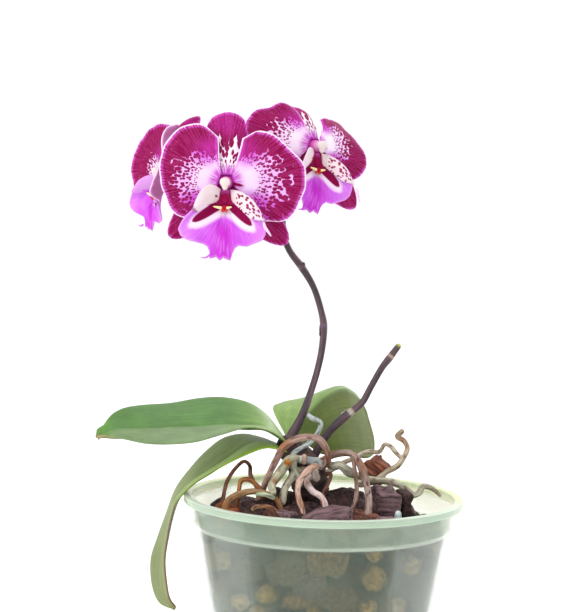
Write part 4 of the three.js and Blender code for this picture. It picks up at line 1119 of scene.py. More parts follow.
ROOT_BITS = [
    (("c4cecd", "a3adac", "7c8486"), [
        (-15.5, -7, 132.4, 1.2), (-14, -8, 133.1, 1.9), (-8.6, -9, 132.9, 2),
        (-3.5, -10, 132.4, 1.7), (0.2, -11, 130.3, 1.2),
    ]),
    (("c3c6b0", "a3a48e", "7d7c68"), [
        (-14, -9.5, 133.5, 1.5), (-14.2, -11.5, 130, 1.6), (-12.5, -13, 126.5, 1.5),
        (-11, -14, 121, 1.2),
    ]),
    (("d08a3a", "b8691c", "7c4416"), [(-16.5, -14.5, 132.2, 1.5), (-17.6, -17.5, 132.8, 2.1)]),
    (("bcc5a8", "9ca68a", "747c66"), [
        (-31.2, -28.2, 119.4, 0.8), (-28, -28.9, 119.9, 1.2), (-24.5, -28.9, 119, 1.1),
        (-22.4, -28.2, 117.8, 0.9),
    ]),
    (("d0b0a0", "b8988a", "8a6a5c"), [(-9.5, -10.6, 131, 1.2), (-9.3, -11.6, 136, 1.3)]),
    (("bdb0a6", "9c8d83", "6e5f56"), [
        (-3.5, -21.5, 125.5, 1.8), (-4.4, -23.5, 129, 2), (-5, -24, 132, 1.6),
    ]),
    (("e2e8ea", "bcc7cb", "96a2a6"), [(33.3, -29.5, 109, 1.6), (33.5, -29.8, 114.2, 1.5)]),
]
print(len(ROOT_BITS), "small pieces of root")

# %% Root skin and paint
BROWN_WRINKLES = 0.085  # how deep the wrinkles are, as a share of the radius
PALE_WRINKLES = 0.06
SHORT_WRINKLES = 0.08


def root_skin(seed, deep):
    """Slow swellings along the root, and sharper wrinkles that run lengthwise round it."""

    def skin(straight):
        slow = lumps(straight * [0.15, 0.15, 1], 9, seed)
        folds = lumps(straight * [1, 1, 0.12], 1.5, seed + 1)
        return 1 + 0.07 * slow + deep * folds

    return skin


def root_paint(tones, seed, rusty=()):
    """Three dry colours in long patches. Where it is rusty, each stretch is given by its middle
    and its half length along the root."""
    light, middle, dark = (colour(code) for code in tones)

    def paint(straight):
        patches = lumps(straight * [0.9, 0.9, 0.28], 3.4, seed + 2)
        flakes = lumps(straight * [1, 1, 0.5], 2.0, seed + 3)
        base = tint(ease(patches, -0.9, 0.5), middle, light)
        for place, half in rusty:
            stretch = np.exp(-(((straight[:, 2] - place) / half) ** 2))
            base = tint(0.85 * stretch * ease(patches + flakes, -1.6, 0.4), base, RUST)
        return tint(ease(flakes, 0.45, 1.2), base, dark)

    return paint


def skin_finish(name, dryness):
    """A dry stem or root: the painted colour with fine speckle and wrinkles along the limb."""
    bench = Bench(name, roughness=dryness, specular_ior_level=0.3)
    straight = bench.mark("skin", "Vector")
    lines = bench.noise(bench.stretch(straight, (1.6, 1.6, 0.22)), 1.0, 5.0)
    specks = bench.noise(straight, 1.7, 4.0)
    shade = bench.fade(lines, 0.3, 0.7, 0.72, 1.18)
    toned = bench.mix(1.0, bench.mark("paint", "Color"), shade, "MULTIPLY")
    dirt = bench.fade(specks, 0.6, 0.74, 0.0, 0.55)
    bench.set(base_color=bench.mix(dirt, toned, "4a3328"))
    bench.bump(bench.sum("ADD", lines, bench.sum("MULTIPLY", specks, 0.5)), 0.0004, 0.8)
    return bench.material


root_material = skin_finish("dry_root_skin", 0.75)
for seed, (name, kind, stations) in enumerate(ROOTS):
    deep = BROWN_WRINKLES if kind == "brown" else PALE_WRINKLES
    paint = root_paint(ROOT_TONES[name], 10 * seed, ROOT_RUST.get(name, ()))
    root = limb(stations, paint, 18, 0.55, root_skin(10 * seed, deep))
    place_piece(f"fine_root_{name}", root, root_material, f"root_{kind}", f"root_{name}")
bits = []
for seed, (tones, stations) in enumerate(ROOT_BITS):
    skin = root_skin(300 + seed, SHORT_WRINKLES)
    bits.append(limb(stations, root_paint(tones, 300 + 10 * seed), 16, 0.5, skin))
place_piece("fine_root_bits", joined(bits), root_material, "root_pale", "stem")

# %% [markdown]
# ## Stem and spikes
#
# The stem is a short knot of old leaf bases and cork. The flower spikes are dark, smooth and
# purplish, with a swollen node every few centimetres, and a dry sheath hugs each node. The
# older spike was cut off above a node; its end is a slant cut that shows yellow-green.

# %% Stem and spike stations
STEM = [
    (-5, 3, 110, 7.5), (-6, 1, 119, 8.5), (-9, 0, 128, 8), (-14, 0.5, 134, 6.5),
    (-18, 1, 138.5, 5), (-20.5, 1, 142, 3),
]
SPIKE = [
    (-18, -1, 137, 2.5), (-15.5, -1.5, 143, 2.4), (-11, -1, 152, 1.9), (-7.3, 1.5, 162.5, 1.6),
    (-4.3, 4, 173, 1.55), (-2.3, 6, 183.5, 1.55), (-1.8, 7, 194, 1.7), (-3, 8, 200, 1.45),
    (-7, 8.5, 211.5, 1.45), (-13, 8, 221, 1.75), (-17.8, 8, 227, 1.5), (-20.4, 9.5, 232, 1.45),
    (-22, 12.5, 240, 1.4), (-22.5, 17, 248, 1.4), (-27, 22, 257, 1.4), (-36, 24, 265, 1.4),
    (-48, 21, 269, 1.3), (-60, 17, 268, 1.3), (-67, 16.5, 265, 1.2),
]
SPIKE_BRACT = [(-13.2, 7.4, 219.6, 1.4), (-12.3, 7.1, 221.6, 1.25), (-11.9, 6.9, 223.2, 0.7)]
STALK_RADIUS = 1.1
STALK_END = 4.0
FRONT_STALK = [(-46, 21, 269, 1.3), (-49, 12, 267, 1.2), (-49, -4, 262.5, STALK_RADIUS)]
RIGHT_STALK = [(-22, 17.5, 248, 1.4), (-20, 26, 258, 1.2), (-16, 28, 270, STALK_RADIUS)]
CUT_SPIKE = [
    (-6, 4, 130, 2.1), (-2, 4, 138, 1.9), (3, 4, 145.5, 1.8), (8, 4, 150.5, 2.1),
    (12, 4, 154, 1.7), (17, 4.5, 158.5, 1.6), (21, 5, 166, 1.5), (26, 6, 175, 1.5),
    (29, 6.5, 179, 1.7), (34, 7, 186, 1.3),
]
BLOOM_PLACES = {
    "front": {"centre": (-48, -22, 260), "yaw": -2, "roll": 0},
    "left": {"centre": (-76, 15, 263), "yaw": -55, "roll": 0},
    "right": {"centre": (-8, 16, 277), "yaw": 28, "roll": 0},
}


def bloom_turn(bloom):
    """A bloom faces the front, rolls about its face and then turns to the right by yaw."""
    turns = zip((bloom["yaw"], 90, bloom["roll"]), "ZXZ")
    yaw, up, roll = (np.array(Matrix.Rotation(math.radians(d), 3, axis)) for d, axis in turns)
    return yaw @ up @ roll


def stalk_end(bloom):
    """Where a bloom's stalk stops: straight behind its middle."""
    behind = bloom_turn(bloom) @ np.array([0, 0, -STALK_END])
    return (*(np.array(bloom["centre"]) + behind), STALK_RADIUS)


print("the cut spike is", round(CentreLine(CUT_SPIKE).length), "mm long")

# %% Paint and skin of the spikes
SPIKE_DARK = colour("43383f")
SPIKE_WARM = colour("6a5258")


def spike_paint(nodes, tip=None):
    """Dark purple-grey with warm lengthwise streaks; a scar at each node, given by its place
    along the limb and its colour, and a tip that may be yellow-green where it was cut."""

    def paint(straight):
        along = straight[:, 2]
        streak = lumps(straight * [1, 1, 0.08], 2.4, 77)
        toned = tint(ease(streak, -0.4, 1.3), SPIKE_DARK, SPIKE_WARM)
        for place, code in nodes:
            toned = tint(np.exp(-(((along - place) / 0.55) ** 2)), toned, code)
        if tip:
            toned = tint(ease(along, along.max() - 1.6, along.max() - 0.7), toned, tip)
        return toned

    return paint


def spike_skin(straight):
    """Nearly smooth, with faint ribs."""
    return 1 + 0.025 * lumps(straight * [1, 1, 0.06], 2.2, 31)


def sheath(line, start, length, spread, lift, code):
    """A dry scale that hugs a limb: it leaves it at start, narrows almost to a point and lifts
    off a little. At u, v it lies at the limb's radius plus 0.25 + lift u^2, turned by
    0.6 + spread v (1 - 0.97 u^1.6) in radians."""

    def place(u, v):
        middle, side, across, radius = line.at(start + length * np.clip(u, 0, 1))
        turn = 0.6 + spread * v * (1 - 0.97 * np.clip(u, 0, 1) ** 1.6)
        out = radius + 0.25 + lift * u**2
        way = side * np.cos(turn)[..., None] + across * np.sin(turn)[..., None]
        return middle + way * out[..., None]

    straight = lambda u, v, face: packed(3 * v, 3 * v, start + length * u)
    painted = lambda u, v, face: tint(u, code, "a08a72")
    return blade(place, 0.4, 10, 14, {"skin": straight, "paint": painted})


print("a sheath follows a centre line")

# %% Build stem and spikes
spike_line = [*SPIKE, stalk_end(BLOOM_PLACES["left"])]
spike = CentreLine(spike_line)
stub = CentreLine(CUT_SPIKE)
spike_material = skin_finish("spike_skin", 0.5)
whole_paint = spike_paint([(6, "6b5a50"), (60.5, "6c5870"), (90.5, "8a7480")])
spike_parts = [limb(spike_line, whole_paint, 20, 0.8, spike_skin)]
spike_parts.append(limb(SPIKE_BRACT, spike_paint([]), 14, 0.6))
for stalk, name in ((FRONT_STALK, "front"), (RIGHT_STALK, "right")):
    spike_parts.append(limb([*stalk, stalk_end(BLOOM_PLACES[name])], spike_paint([]), 14, 0.8))
spike_parts.append(sheath(spike, 55.5, 6.5, 1.5, 0.3, "6a5662"))
place_piece("fine_spike", joined(spike_parts), spike_material, "spike", "spike")
stub_paint = spike_paint([(30, "d8d2c6"), (30.9, "b9a890"), (62.5, "c2a68c")], "b8bb63")
stub_skin = limb(CUT_SPIKE, stub_paint, 18, 0.8, spike_skin)
stub_sheath = sheath(stub, 26, 5, 1.4, 0.4, "cfc8ba")
place_piece("fine_cut_spike", joined([stub_skin, stub_sheath]), spike_material, "spike", "cut_spike")


def stem_paint(straight):
    """Old cork: grey-brown with dark bands where leaves were shed."""
    bands = np.sin(straight[:, 2] * 1.3 + lumps(straight, 6, 3))
    return tint(ease(bands, -0.2, 0.9), "55423e", "2a1f1e")


stem_skin = lambda straight: 1 + 0.05 * lumps(straight, 4, 8) + 0.03 * np.sin(straight[..., 2] * 1.3)
stem = limb(STEM, stem_paint, 28, 0.8, stem_skin)
place_piece("fine_stem", stem, skin_finish("cork", 0.85), "crown", "stem")

# %% [markdown]
# ## Leaves
#
# A moth orchid has a few thick, leathery leaves, folded along the midrib. Each row of numbers
# gives the far margin, the midrib and the near margin at one place along the leaf, and smooth
# curves join the rows. Between rib and margin each half swells a little, the rib lies in a
# shallow groove, and near its tip an old leaf crinkles. The blade is thickest at the rib.

# %% Leaf rows
LEAF_LEFT = [
    [(-19, 4, 141), (-18, 0, 140), (-17, -4, 139.5)],
    [(-27, 15, 150), (-27.5, 1, 145.5), (-25.5, -11, 146)],
    [(-35.5, 19, 155), (-37, 1, 146), (-36, -17, 148.5)],
    [(-47.5, 21, 157), (-48, 0, 146.5), (-47.5, -21, 145.5)],
    [(-59.5, 21, 156.5), (-59, 0, 145.5), (-59, -24, 142)],
    [(-73, 18, 154.5), (-71, -1, 145), (-70.5, -24, 140.5)],
    [(-86.5, 15, 153.5), (-83, -1, 144), (-82, -19, 140)],
    [(-95.5, 9, 152), (-94, -1, 143.5), (-93, -12, 141)],
    [(-102, 3, 147.5), (-101, -1, 142), (-100, -6, 140)],
    [(-106, -1, 142.5), (-106.5, -2, 140.5), (-105, -4, 139.5)],
]
LEAF_HANGING = [
    [(-19, 3, 137), (-18, 0, 136), (-17, -5, 135.5)],
    [(-29.5, 10, 140), (-27.5, 0, 139), (-26.5, -9, 138)],
    [(-38.5, 14, 141), (-35.5, 0, 137.5), (-36.5, -13, 135)],
    [(-47.5, 16, 138.5), (-44.5, 0, 131), (-47, -15, 130)],
    [(-55.5, 17, 132), (-53, 1, 125), (-55, -14, 125)],
    [(-62.5, 17, 124), (-61, 2, 119.5), (-62, -11, 119)],
    [(-69.5, 17, 114), (-67.5, 3, 112.5), (-68, -8, 111)],
    [(-74, 18, 101.5), (-70.5, 4, 104), (-70, -6, 104)],
    [(-78, 19, 89.5), (-72.5, 4, 94), (-72, -6, 93.5)],
    [(-81, 19, 78.5), (-74, 4, 83.5), (-73, -5, 82.5)],
    [(-80, 17, 66.5), (-74, 4, 72), (-71.5, -4, 70)],
    [(-76, 12, 60), (-72, 3, 64), (-70, -2, 63.5)],
    [(-68.5, 3, 58.5), (-68, 1, 59), (-67.5, -1, 60.5)],
]
LEAF_RIGHT = [
    [(-18, 7, 141), (-15.5, 4, 140), (-13, 1, 138.5)],
    [(-24.5, 21, 152), (-13.5, 10, 145), (-7.5, 7, 137)],
    [(-20.5, 31, 154), (-9, 17, 150.5), (-1, 10, 133)],
    [(-11.5, 41, 154.5), (-3, 27, 156), (7, 14, 132)],
    [(-2, 49, 156.5), (3, 36, 159.5), (14, 20, 130.5)],
    [(5.5, 53, 158.5), (10, 44, 160), (19.5, 27, 128.5)],
    [(12, 54, 158), (15.5, 49, 155.5), (23, 34, 128.5)],
    [(16, 54, 155.5), (18.5, 51, 151), (25, 40, 130)],
    [(18.5, 53, 152.5), (21, 51, 147.5), (25, 46, 135)],
]
LEAF_THICKNESS = 1.7
print("the leaves have", [len(rows) for rows in (LEAF_LEFT, LEAF_HANGING, LEAF_RIGHT)], "rows")


# %% Leaf shape
def leaf_place(rows, swell, crinkle):
    """Between midrib and margin by |v|, lifted by swell |v| (1 - |v|) sin(pi u), lowered by a
    narrow groove at the rib and shaken by crinkle near the tip."""
    rows = np.asarray(rows, float)

    def column(side, u):
        return packed(*(through(rows[:, side, axis], u) for axis in range(3)))

    def place(u, v):
        share = np.abs(v)[..., None]
        margin = np.where((v < 0)[..., None], column(0, u), column(2, u))
        middle = column(1, u)
        point = middle + (margin - middle) * share
        inner = np.sin(math.pi * np.clip(u, 0, 1))
        lift = swell * np.abs(v) * (1 - np.abs(v)) * inner
        groove = 0.55 * np.exp(-((v / 0.07) ** 2)) * inner
        wave = 0.25 * v**2 * np.sin(11 * u + 2 * v)
        old = crinkle * ease(u, 0.78, 0.93) * np.sin(24 * u + 5 * v) * (0.3 + v**2)
        point[..., 2] += lift - groove + inner * wave + old
        return point

    return place


def leaf_shell(rows, swell, crinkle, paint):
    """A leaf's blade: its thickness falls to 0.55 of the usual at the margins and gains half a
    millimetre along the rib."""
    place = leaf_place(rows, swell, crinkle)
    thickness = lambda u, v: LEAF_THICKNESS * (1 - 0.45 * v**2) + 0.5 * np.exp(-((v / 0.1) ** 2))
    fibres = lambda u, v, face: packed(20 * v, 90 * u, 3 * face)
    return blade(place, thickness, 150, 56, {"fibres": fibres, "paint": paint})


print("at its rib a leaf is", round(LEAF_THICKNESS + 0.5, 1), "mm thick")


# %% [markdown]
# The colours of a leaf change slowly over its length and differ between its two halves, where
# one looks up and the other away; that difference between the halves is painted light and
# shade. So they are worked out per point and kept as paint. What is finer than that comes from
# nodes: veins that run along the leaf, a faint mottle, and a waxy coat whose gloss follows the
# same veins.

# %% Leaf paint and finish


def left_leaf_paint(u, v, face):
    """Fresh green above; the near half paler and greyer, which is painted sheen, and paler at the
    base; dry and brown at the tip.
    """
    far = tint(ease(u, 0.0, 0.35), "83a254", "577f42")
    near = tint(ease(u, 0.1, 0.4), "829f55", "6e8857")
    # The two halves differ by painted light: the near half's paler grey is painted sheen.
    toned = tint(ease(v, -0.06, 0.1), far, near)
    toned = tint(0.7 * ease(u, 0.83, 0.9), toned, "5f8f3a")
    dry = ease(u + 0.05 * v, 0.94, 1.02) + 0.8 * ease(u, 0.8, 0.9) * ease(v, 0.45, 0.9)
    toned = tint(dry, toned, "93865a")
    return toned if face > 0 else tint(0.55, toned, "3f6a1c")


def hanging_leaf_paint(u, v, face):
    """An older leaf: grey-green far half, a yellow-green band on the near half, olive below. The
    two halves differ by painted light.
    """
    far = tint(ease(u, 0.3, 0.8), "8b9d58", "6f7c3c")
    near = tint(ease(u, 0.3, 0.65), "93b53f", "747f38")
    # Painted light: the near half's yellow-green band stands for light falling on that half.
    toned = tint(ease(v, -0.05, 0.12), far, near)
    rust = ease(v, 0.72, 0.98) * ease(u, 0.42, 0.6) + ease(u, 0.95, 1.02)
    toned = tint(0.8 * rust, toned, "7a5f3c")
    return toned if face > 0 else tint(0.6, toned, "4a4a26")


def right_leaf_paint(u, v, face):
    """Painted light and shade: light green where it faces the light, a painted shade of dark olive
    on the half that hangs down, with a dark crease between them and a yellow edge."""
    far = tint(ease(u, 0.2, 0.8), "83a258", "708f44")
    near = tint(ease(u, 0.1, 0.9), "4a5e0a", "58650e")
    # Painted light and shade: the far half lit light green, the near half in painted shade of dark
    # olive.
    toned = tint(ease(v, -0.02, 0.1), far, near)
    toned = tint(0.5 * np.exp(-(((v - 0.06) / 0.03) ** 2)), toned, "3c5520")
    toned = tint(0.7 * ease(v, 0.9, 1.0), toned, "8f8a3c")
    return toned if face < 0 else tint(0.5, toned, "5f7a34")


def leaf_finish():
    bench = Bench("leathery_leaf", specular_ior_level=0.32, coat_weight=0.06, coat_roughness=0.3)
    fibres = bench.mark("fibres", "Vector")
    veins = bench.noise(bench.stretch(fibres, (1.1, 0.035, 1.0)), 1.0, 4.0)
    mottle = bench.noise(fibres, 0.16, 4.0)
    lined, mottled = (bench.fade(each, 0.3, 0.7, 0.88, 1.1) for each in (veins, mottle))
    shade = bench.sum("MULTIPLY", lined, mottled)
    bench.set(base_color=bench.mix(1.0, bench.mark("paint", "Color"), shade, "MULTIPLY"))
    bench.set(roughness=bench.fade(veins, 0.3, 0.7, 0.36, 0.5))
    bench.bump(veins, 0.00025, 0.6)
    return bench.material


leaf_material = leaf_finish()
LEAVES = {
    "left": (LEAF_LEFT, 1.5, 0.9, left_leaf_paint, "leaf"),
    "hanging": (LEAF_HANGING, 1.0, 0.4, hanging_leaf_paint, "leaf_dull"),
    "right": (LEAF_RIGHT, 3.0, 0.2, right_leaf_paint, "leaf_dull"),
}
for name, (rows, swell, crinkle, paint, slot) in LEAVES.items():
    leaf = leaf_shell(rows, swell, crinkle, paint)
    place_piece(f"fine_leaf_{name}", leaf, leaf_material, slot, f"leaf_{name}")

# %% [markdown]
# ## Blooms: the tepals
#
# Three sepals and two broad petals make the face of a bloom. In the bloom's own frame x is to
# its right, y up and z out of its face. A tepal is a fan of rays from a narrow claw; its
# outline is the list of ray lengths from one side to the other. Each ray is an arc of a
# circle: it leaves the claw leaning forwards by lean and bends on by its own few degrees, so a
# negative bend curls it backwards. Fine pleats run down the rays, and the margin is a little
# wavy. The first table holds the usual five tepals; the second says what a bloom changes. There
# pull draws the spots in towards the middle, and lilac tints the white heart.

# %% The usual tepals
PETAL_THICKNESS = 0.9
PETAL_CLAW = 3.2
CLAW_HALF_WIDTH = 2.7

SEPAL = {"depth": -2, "lean": -4, "bend": [-14, -14]}
PETAL = {"depth": 0, "lean": 0, "bend": [-8, -8], "wave": 0.4}
TEPALS = {
    "dorsal_sepal": {
        **SEPAL, "bearing": 90, "spread": 60,
        "reach": [7.5, 11.5, 17.5, 27, 29, 27.5, 22, 15, 9],
    },
    "lateral_sepal_left": {
        **SEPAL, "bearing": 224.5, "spread": 56,
        "reach": [8, 12.5, 18.5, 26, 34, 27, 19, 12.5, 8],
    },
    "lateral_sepal_right": {
        **SEPAL, "bearing": -44.5, "spread": 56,
        "reach": [9, 13.5, 20, 28, 36.8, 28, 20, 13.5, 9],
    },
    "petal_left": {
        **PETAL, "bearing": 163.5, "spread": 71.5,
        "reach": [19.5, 26.8, 29.6, 29.7, 28.4, 26.9, 25.8, 25.6, 22],
    },
    "petal_right": {
        **PETAL, "bearing": 14.5, "spread": 64.5,
        "reach": [23.5, 30.3, 31.6, 32.9, 32.9, 29.5, 28.1, 25.8, 19.8],
    },
}
print("a bloom has", len(TEPALS), "tepals")

# %% What each bloom changes
BLOOM_SHAPES = {
    "front": {
        "lip_scale": 1, "lip_turn": 0, "bars": True,
        "petal_left": {"lilac": 0.3}, "petal_right": {"lilac": 0.3},
    },
    "left": {
        "lip_scale": 0.73, "lip_turn": -8, "bars": False,
        "dorsal_sepal": {
            "spread": 32, "lean": 22, "bend": [-110, -110],
            "reach": [7.5, 13, 20, 28, 32, 29, 22, 15, 9],
        },
        "lateral_sepal_left": {"lean": -38, "bend": [-20, -20]},
        "lateral_sepal_right": {"lean": -30, "bend": [-20, -20]},
        "petal_left": {
            "bearing": 156, "spread": 72, "lean": 7, "bend": [-24, -16, -6, 4, 5, 5, 5, 5, 5],
            "reach": [21.5, 22.3, 22.5, 22, 22.5, 24.3, 25, 22.5, 16], "pull": 1.6,
        },
        "petal_right": {
            "bearing": 19, "spread": 71, "lean": 34,
            "bend": [6, 30, 34, 24, 10, 6, -8, -48, -90],
            "reach": [22.5, 27.6, 26.8, 29, 30, 27.8, 26.5, 23.5, 23.5], "pull": 1.1,
        },
    },
    "right": {
        "lip_scale": 0.88, "lip_turn": -8, "bars": True,
        "dorsal_sepal": {
            "lean": -38, "bend": [-24, -24], "reach": [9, 13.5, 16.8, 20.8, 22.5, 24, 22, 15, 9],
        },
        "lateral_sepal_left": {
            "bearing": 214, "lean": -14, "bend": [-20, -20],
            "reach": [7, 14, 20, 23, 24, 23, 20, 14, 7],
        },
        "lateral_sepal_right": {
            "bearing": -46, "lean": -8, "bend": [-4, -4],
            "reach": [9, 13.5, 20, 30, 37.5, 25.5, 17, 12, 8],
        },
        "petal_left": {
            "bearing": 165, "spread": 66, "lean": -4,
            "bend": [-60, -57, -50, -34, -22, -18, -16, -16, -16],
            "reach": [21.5, 26, 26.4, 30.4, 32.6, 30, 27.5, 24, 18],
        },
        "petal_right": {
            "bearing": 16, "spread": 60, "lean": -4,
            "bend": [-10, -12, -18, -28, -48, -62, -62, -62, -62],
            "reach": [25.8, 29.8, 31, 26.6, 24.3, 24.3, 20.2, 17.6, 15], "pull": 1.3,
        },
    },
}
print("three blooms:", ", ".join(BLOOM_SHAPES))


# %% The surface of a tepal
def ray_length(tepal, v):
    """Length of the ray at v, with a faintly uneven margin."""
    uneven = 0.12 * np.sin(23 * v + tepal["bearing"]) * (1 - v**8)
    return through(tepal["reach"], (v + 1) / 2) + uneven


def tepal_place(tepal):
    """Each ray is an arc: out = R (sin(lean + bend u) - sin lean) and
    rise = R (cos lean - cos(lean + bend u)), with R the ray's length over its bend."""
    middle, half, start = (math.radians(tepal[key]) for key in ("bearing", "spread", "lean"))
    cos, sin = math.cos(middle), math.sin(middle)

    def place(u, v):
        turn = np.radians(through(tepal["bend"], (v + 1) / 2))
        arc = ray_length(tepal, v) / turn
        out = arc * (np.sin(start + turn * u) - math.sin(start))
        rise = arc * (math.cos(start) - np.cos(start + turn * u))
        along = out * np.cos(half * v)
        across = out * np.sin(half * v) + CLAW_HALF_WIDTH * v * (1 - u) ** 2
        x = (PETAL_CLAW + along) * cos - across * sin
        y = (PETAL_CLAW + along) * sin + across * cos
        pleats = 0.05 * u * (1 - u) * np.sin(46 * v) + 0.12 * u**2 * np.sin(17 * v + 9 * u)
        wave = tepal.get("wave", 0) * u**3 * np.sin(7 * v + 1)
        return packed(x, y, tepal["depth"] + rise + wave + pleats)

    return place


print("a tepal's longest ray is", max(max(each["reach"]) for each in TEPALS.values()), "mm")

# %% [markdown]
# ## Blooms: the paint
#
# The petals are white at heart and crimson outside, and between the two the crimson breaks up
# into spots that stream away from the middle. Nature's spots grow until they touch. So the
# paint is a field of cells whose centres are spots: a mark says how thickly the crimson lies,
# from 0 to 1, and every point nearer to its spot's centre than that is inked. The cells live
# in coordinates that run with the logarithm of the distance and with the angle, so they
# widen outwards and stretch along the rays as the real ones do.
#
# Six marks are kept for this: the cell coordinates, the thickness of the crimson, the distance
# from the margin, the colours of ground and ink, and which face is the back. lift is an angle
# on a petal, in degrees above the level line through the column.

# %% Where the crimson lies
SPOT_AROUND = 12.5  # cells to a radian
SPOT_OUTWARDS = 10.5  # cells to each e-fold of the distance
STREAK_AROUND = 6.8  # the same two for the dorsal sepal, whose spots are long
STREAK_OUTWARDS = 4.0
STAIN_STARTS = {"left": (12.5, 11, 12), "right": (14.5, 12, 12)}  # level, high and low on a petal
STAIN_CLOSES = {"left": (26, 17.5, 24), "right": (29.5, 18, 25.5)}


def cells(distance, angle, seed, outwards, around):
    """Cell coordinates: the logarithm of the distance, and the angle, each times a count."""
    first = outwards * np.log(np.maximum(distance, 2) / 10) + 31.7 * seed
    return packed(first, around * angle + 17.3 * seed, 0)


def follow(lift, level, high, low):
    """A distance that leaves its level value by (lift / 60)^2 upwards and by
    (-lift / 40)^1.2 downwards, lift in degrees."""
    up = np.clip(lift / 60, 0, 1.15) ** 2
    down = np.clip(-lift / 40, 0, 1.15) ** 1.2
    return level + (high - level) * up + (low - level) * down


def petal_stain(distance, lift, side):
    """How thickly the crimson lies: from its start to where it closes up, t = 0 to 1, it is
    0.27 + 0.28 t + 0.22 t^4."""
    start = follow(lift, *STAIN_STARTS[side])
    closed = follow(lift, *STAIN_CLOSES[side])
    t = np.clip((distance - start) / (closed - start), 0, 1.25)
    return ease(t, 0, 0.03) * (0.27 + 0.28 * t + 0.22 * t**4)


def dorsal_stain(distance, side):
    """Dots from 5.5 mm, from 8 mm on thicker by 0.03 a millimetre; from 17 mm streaks that
    close up within 6.5 mm or so. The sides are darker."""
    beyond = np.clip((distance - 17) / 6.5, 0, 1.3)
    base = 0.25 * ease(distance, 5.5, 8) + 0.03 * np.clip(distance - 8, 0, 20) + 0.36 * beyond**2
    return base + 0.25 * np.abs(side) ** 3 * ease(distance, 7, 13)


print("spots close up", STAIN_CLOSES["left"][0], "mm out, level on a left petal")

# %% Ground colours of a petal
WHITE = colour("f8eafa")
LILAC = colour("d88eea")
PINK = colour("c743c2")
CRIMSON = colour("860744")
WINE = colour("7e1040")
MAGENTA = colour("bb2c9c")
HALO = colour("c650c6")


def halo_share(distance, angle):
    """The magenta ring round the column: full out to 4 mm, and rays of it out to 9.5 mm."""
    rays = 0.72 + 0.28 * np.sin(15 * angle + 2 * np.sin(7 * angle))
    rays = np.maximum(rays, ease(-distance, -5.5, -4))
    return rays * ease(-distance, -9.5, -5.5)


def petal_ground(distance, lift, lilac):
    """White at heart, as lilac as asked for, more so outwards; pink high up and low down."""
    blush = ease(distance, 7, 13) * (ease(lift, 26, 58) + ease(-lift, 12, 34))
    pale = lilac + 0.4 * ease(distance, 11, 19)
    soft = tint(0.9 * blush + pale * (1 - blush), WHITE, LILAC)
    return tint(0.85 * blush * ease(distance, 10, 17), soft, PINK)


def crimson_dash(distance, lift):
    """A dash beside the column on a right petal: 15 degrees below level, under a millimetre
    to either side, and pointed where it ends at 9 mm."""
    away = np.abs(np.radians(lift + 15) * distance)
    return ease(-away, -1.15, -0.7) * ease(-distance - 2 * away, -9.2, -7.4)


print("the halo's share 7 mm out is", round(float(halo_share(7.0, 0.0)), 2))


# %% Marks of a tepal
def tepal_marks(kind, tepal, seed):
    """The marks of one tepal, as functions of u, v and the face. Where a tepal is shorter than
    usual, its pull draws the pattern in towards the middle."""
    side = "left" if "left" in kind else "right"
    dorsal, lateral = kind.startswith("dorsal"), kind.startswith("lateral")

    def polar(u, v):
        distance = PETAL_CLAW + ray_length(tepal, v) * u
        angle = np.radians(tepal["bearing"] + tepal["spread"] * v)
        degrees = np.degrees(angle)
        return distance * tepal.get("pull", 1), angle, (180 - degrees if side == "left" else degrees)

    def spots(u, v, face):
        distance, angle, _ = polar(u, v)
        counts = (STREAK_OUTWARDS, STREAK_AROUND) if dorsal else (SPOT_OUTWARDS, SPOT_AROUND)
        return cells(distance, angle, seed, *counts)

    def stain(u, v, face):
        distance, _, lift = polar(u, v)
        if lateral:
            return 1.2 + 0 * u
        return dorsal_stain(distance, v) if dorsal else petal_stain(distance, lift, side)

    def edge(u, v, face):
        """Distance from the margin; sepals and the claw count as further in than they are."""
        reach = ray_length(tepal, v)
        distance = PETAL_CLAW + reach * u
        sideways = (1 - np.abs(v)) * math.radians(tepal["spread"]) * distance
        claw = 4 * ease(-distance, -9, -5)
        return np.minimum((1 - u) * reach, sideways) + claw + (0.6 if lateral or dorsal else 0)

    def ground(u, v, face):
        distance, angle, lift = polar(u, v)
        halo = halo_share(distance, angle)
        if dorsal:
            return tint(halo, WHITE, HALO)
        toned = tint(halo, petal_ground(distance, lift, tepal.get("lilac", 0)), HALO)
        return toned if side == "left" else tint(crimson_dash(distance, lift), toned, CRIMSON)

    def ink(u, v, face):
        distance, _, lift = polar(u, v)
        if dorsal:
            glow = np.exp(-((v / 0.45) ** 2)) * ease(distance, 18, 26)
            return tint(0.45 * glow, CRIMSON, MAGENTA)
        if lateral:
            return tint(0.3 * ease(np.abs(v), 0.2, 0.8), CRIMSON, WINE)
        return tint(0.9 * ease(lift, 35, 72) * ease(-distance, -27, -16), CRIMSON, MAGENTA)

    def back(u, v, face):
        return np.full(u.shape, 0.0 if face > 0 else 1.0)

    return {"cells": spots, "stain": stain, "edge": edge, "ground": ground, "ink": ink, "back": back}


print("a tepal's marks:", ", ".join(tepal_marks("petal_left", TEPALS["petal_left"], 1)))

# %% [markdown]
# The flower finish reads those marks. A little noise shakes the cell coordinates, so no spot is
# a perfect oval, and each spot has a size of its own by chance. The crimson is cloudy, a little
# brighter along the rays and flecked with pink; the flecks are smaller cells of the same kind.
# A second noise with narrow, long cells gives the rays and cuts teeth into the white margin.
# The back of a tepal shows the same pattern faintly, because the crimson is in the front skin
# only. Light enters a petal and comes out again nearby, which the subsurface weight gives.

# %% Flower finish


def spot_cells(bench, place, kind):
    """Distance to the nearest cell's centre, or the cell's colour by chance."""
    flat = {"voronoi_dimensions": "2D"}
    return bench.add("ShaderNodeTexVoronoi", kind, flat, Vector=place, Scale=1.0)


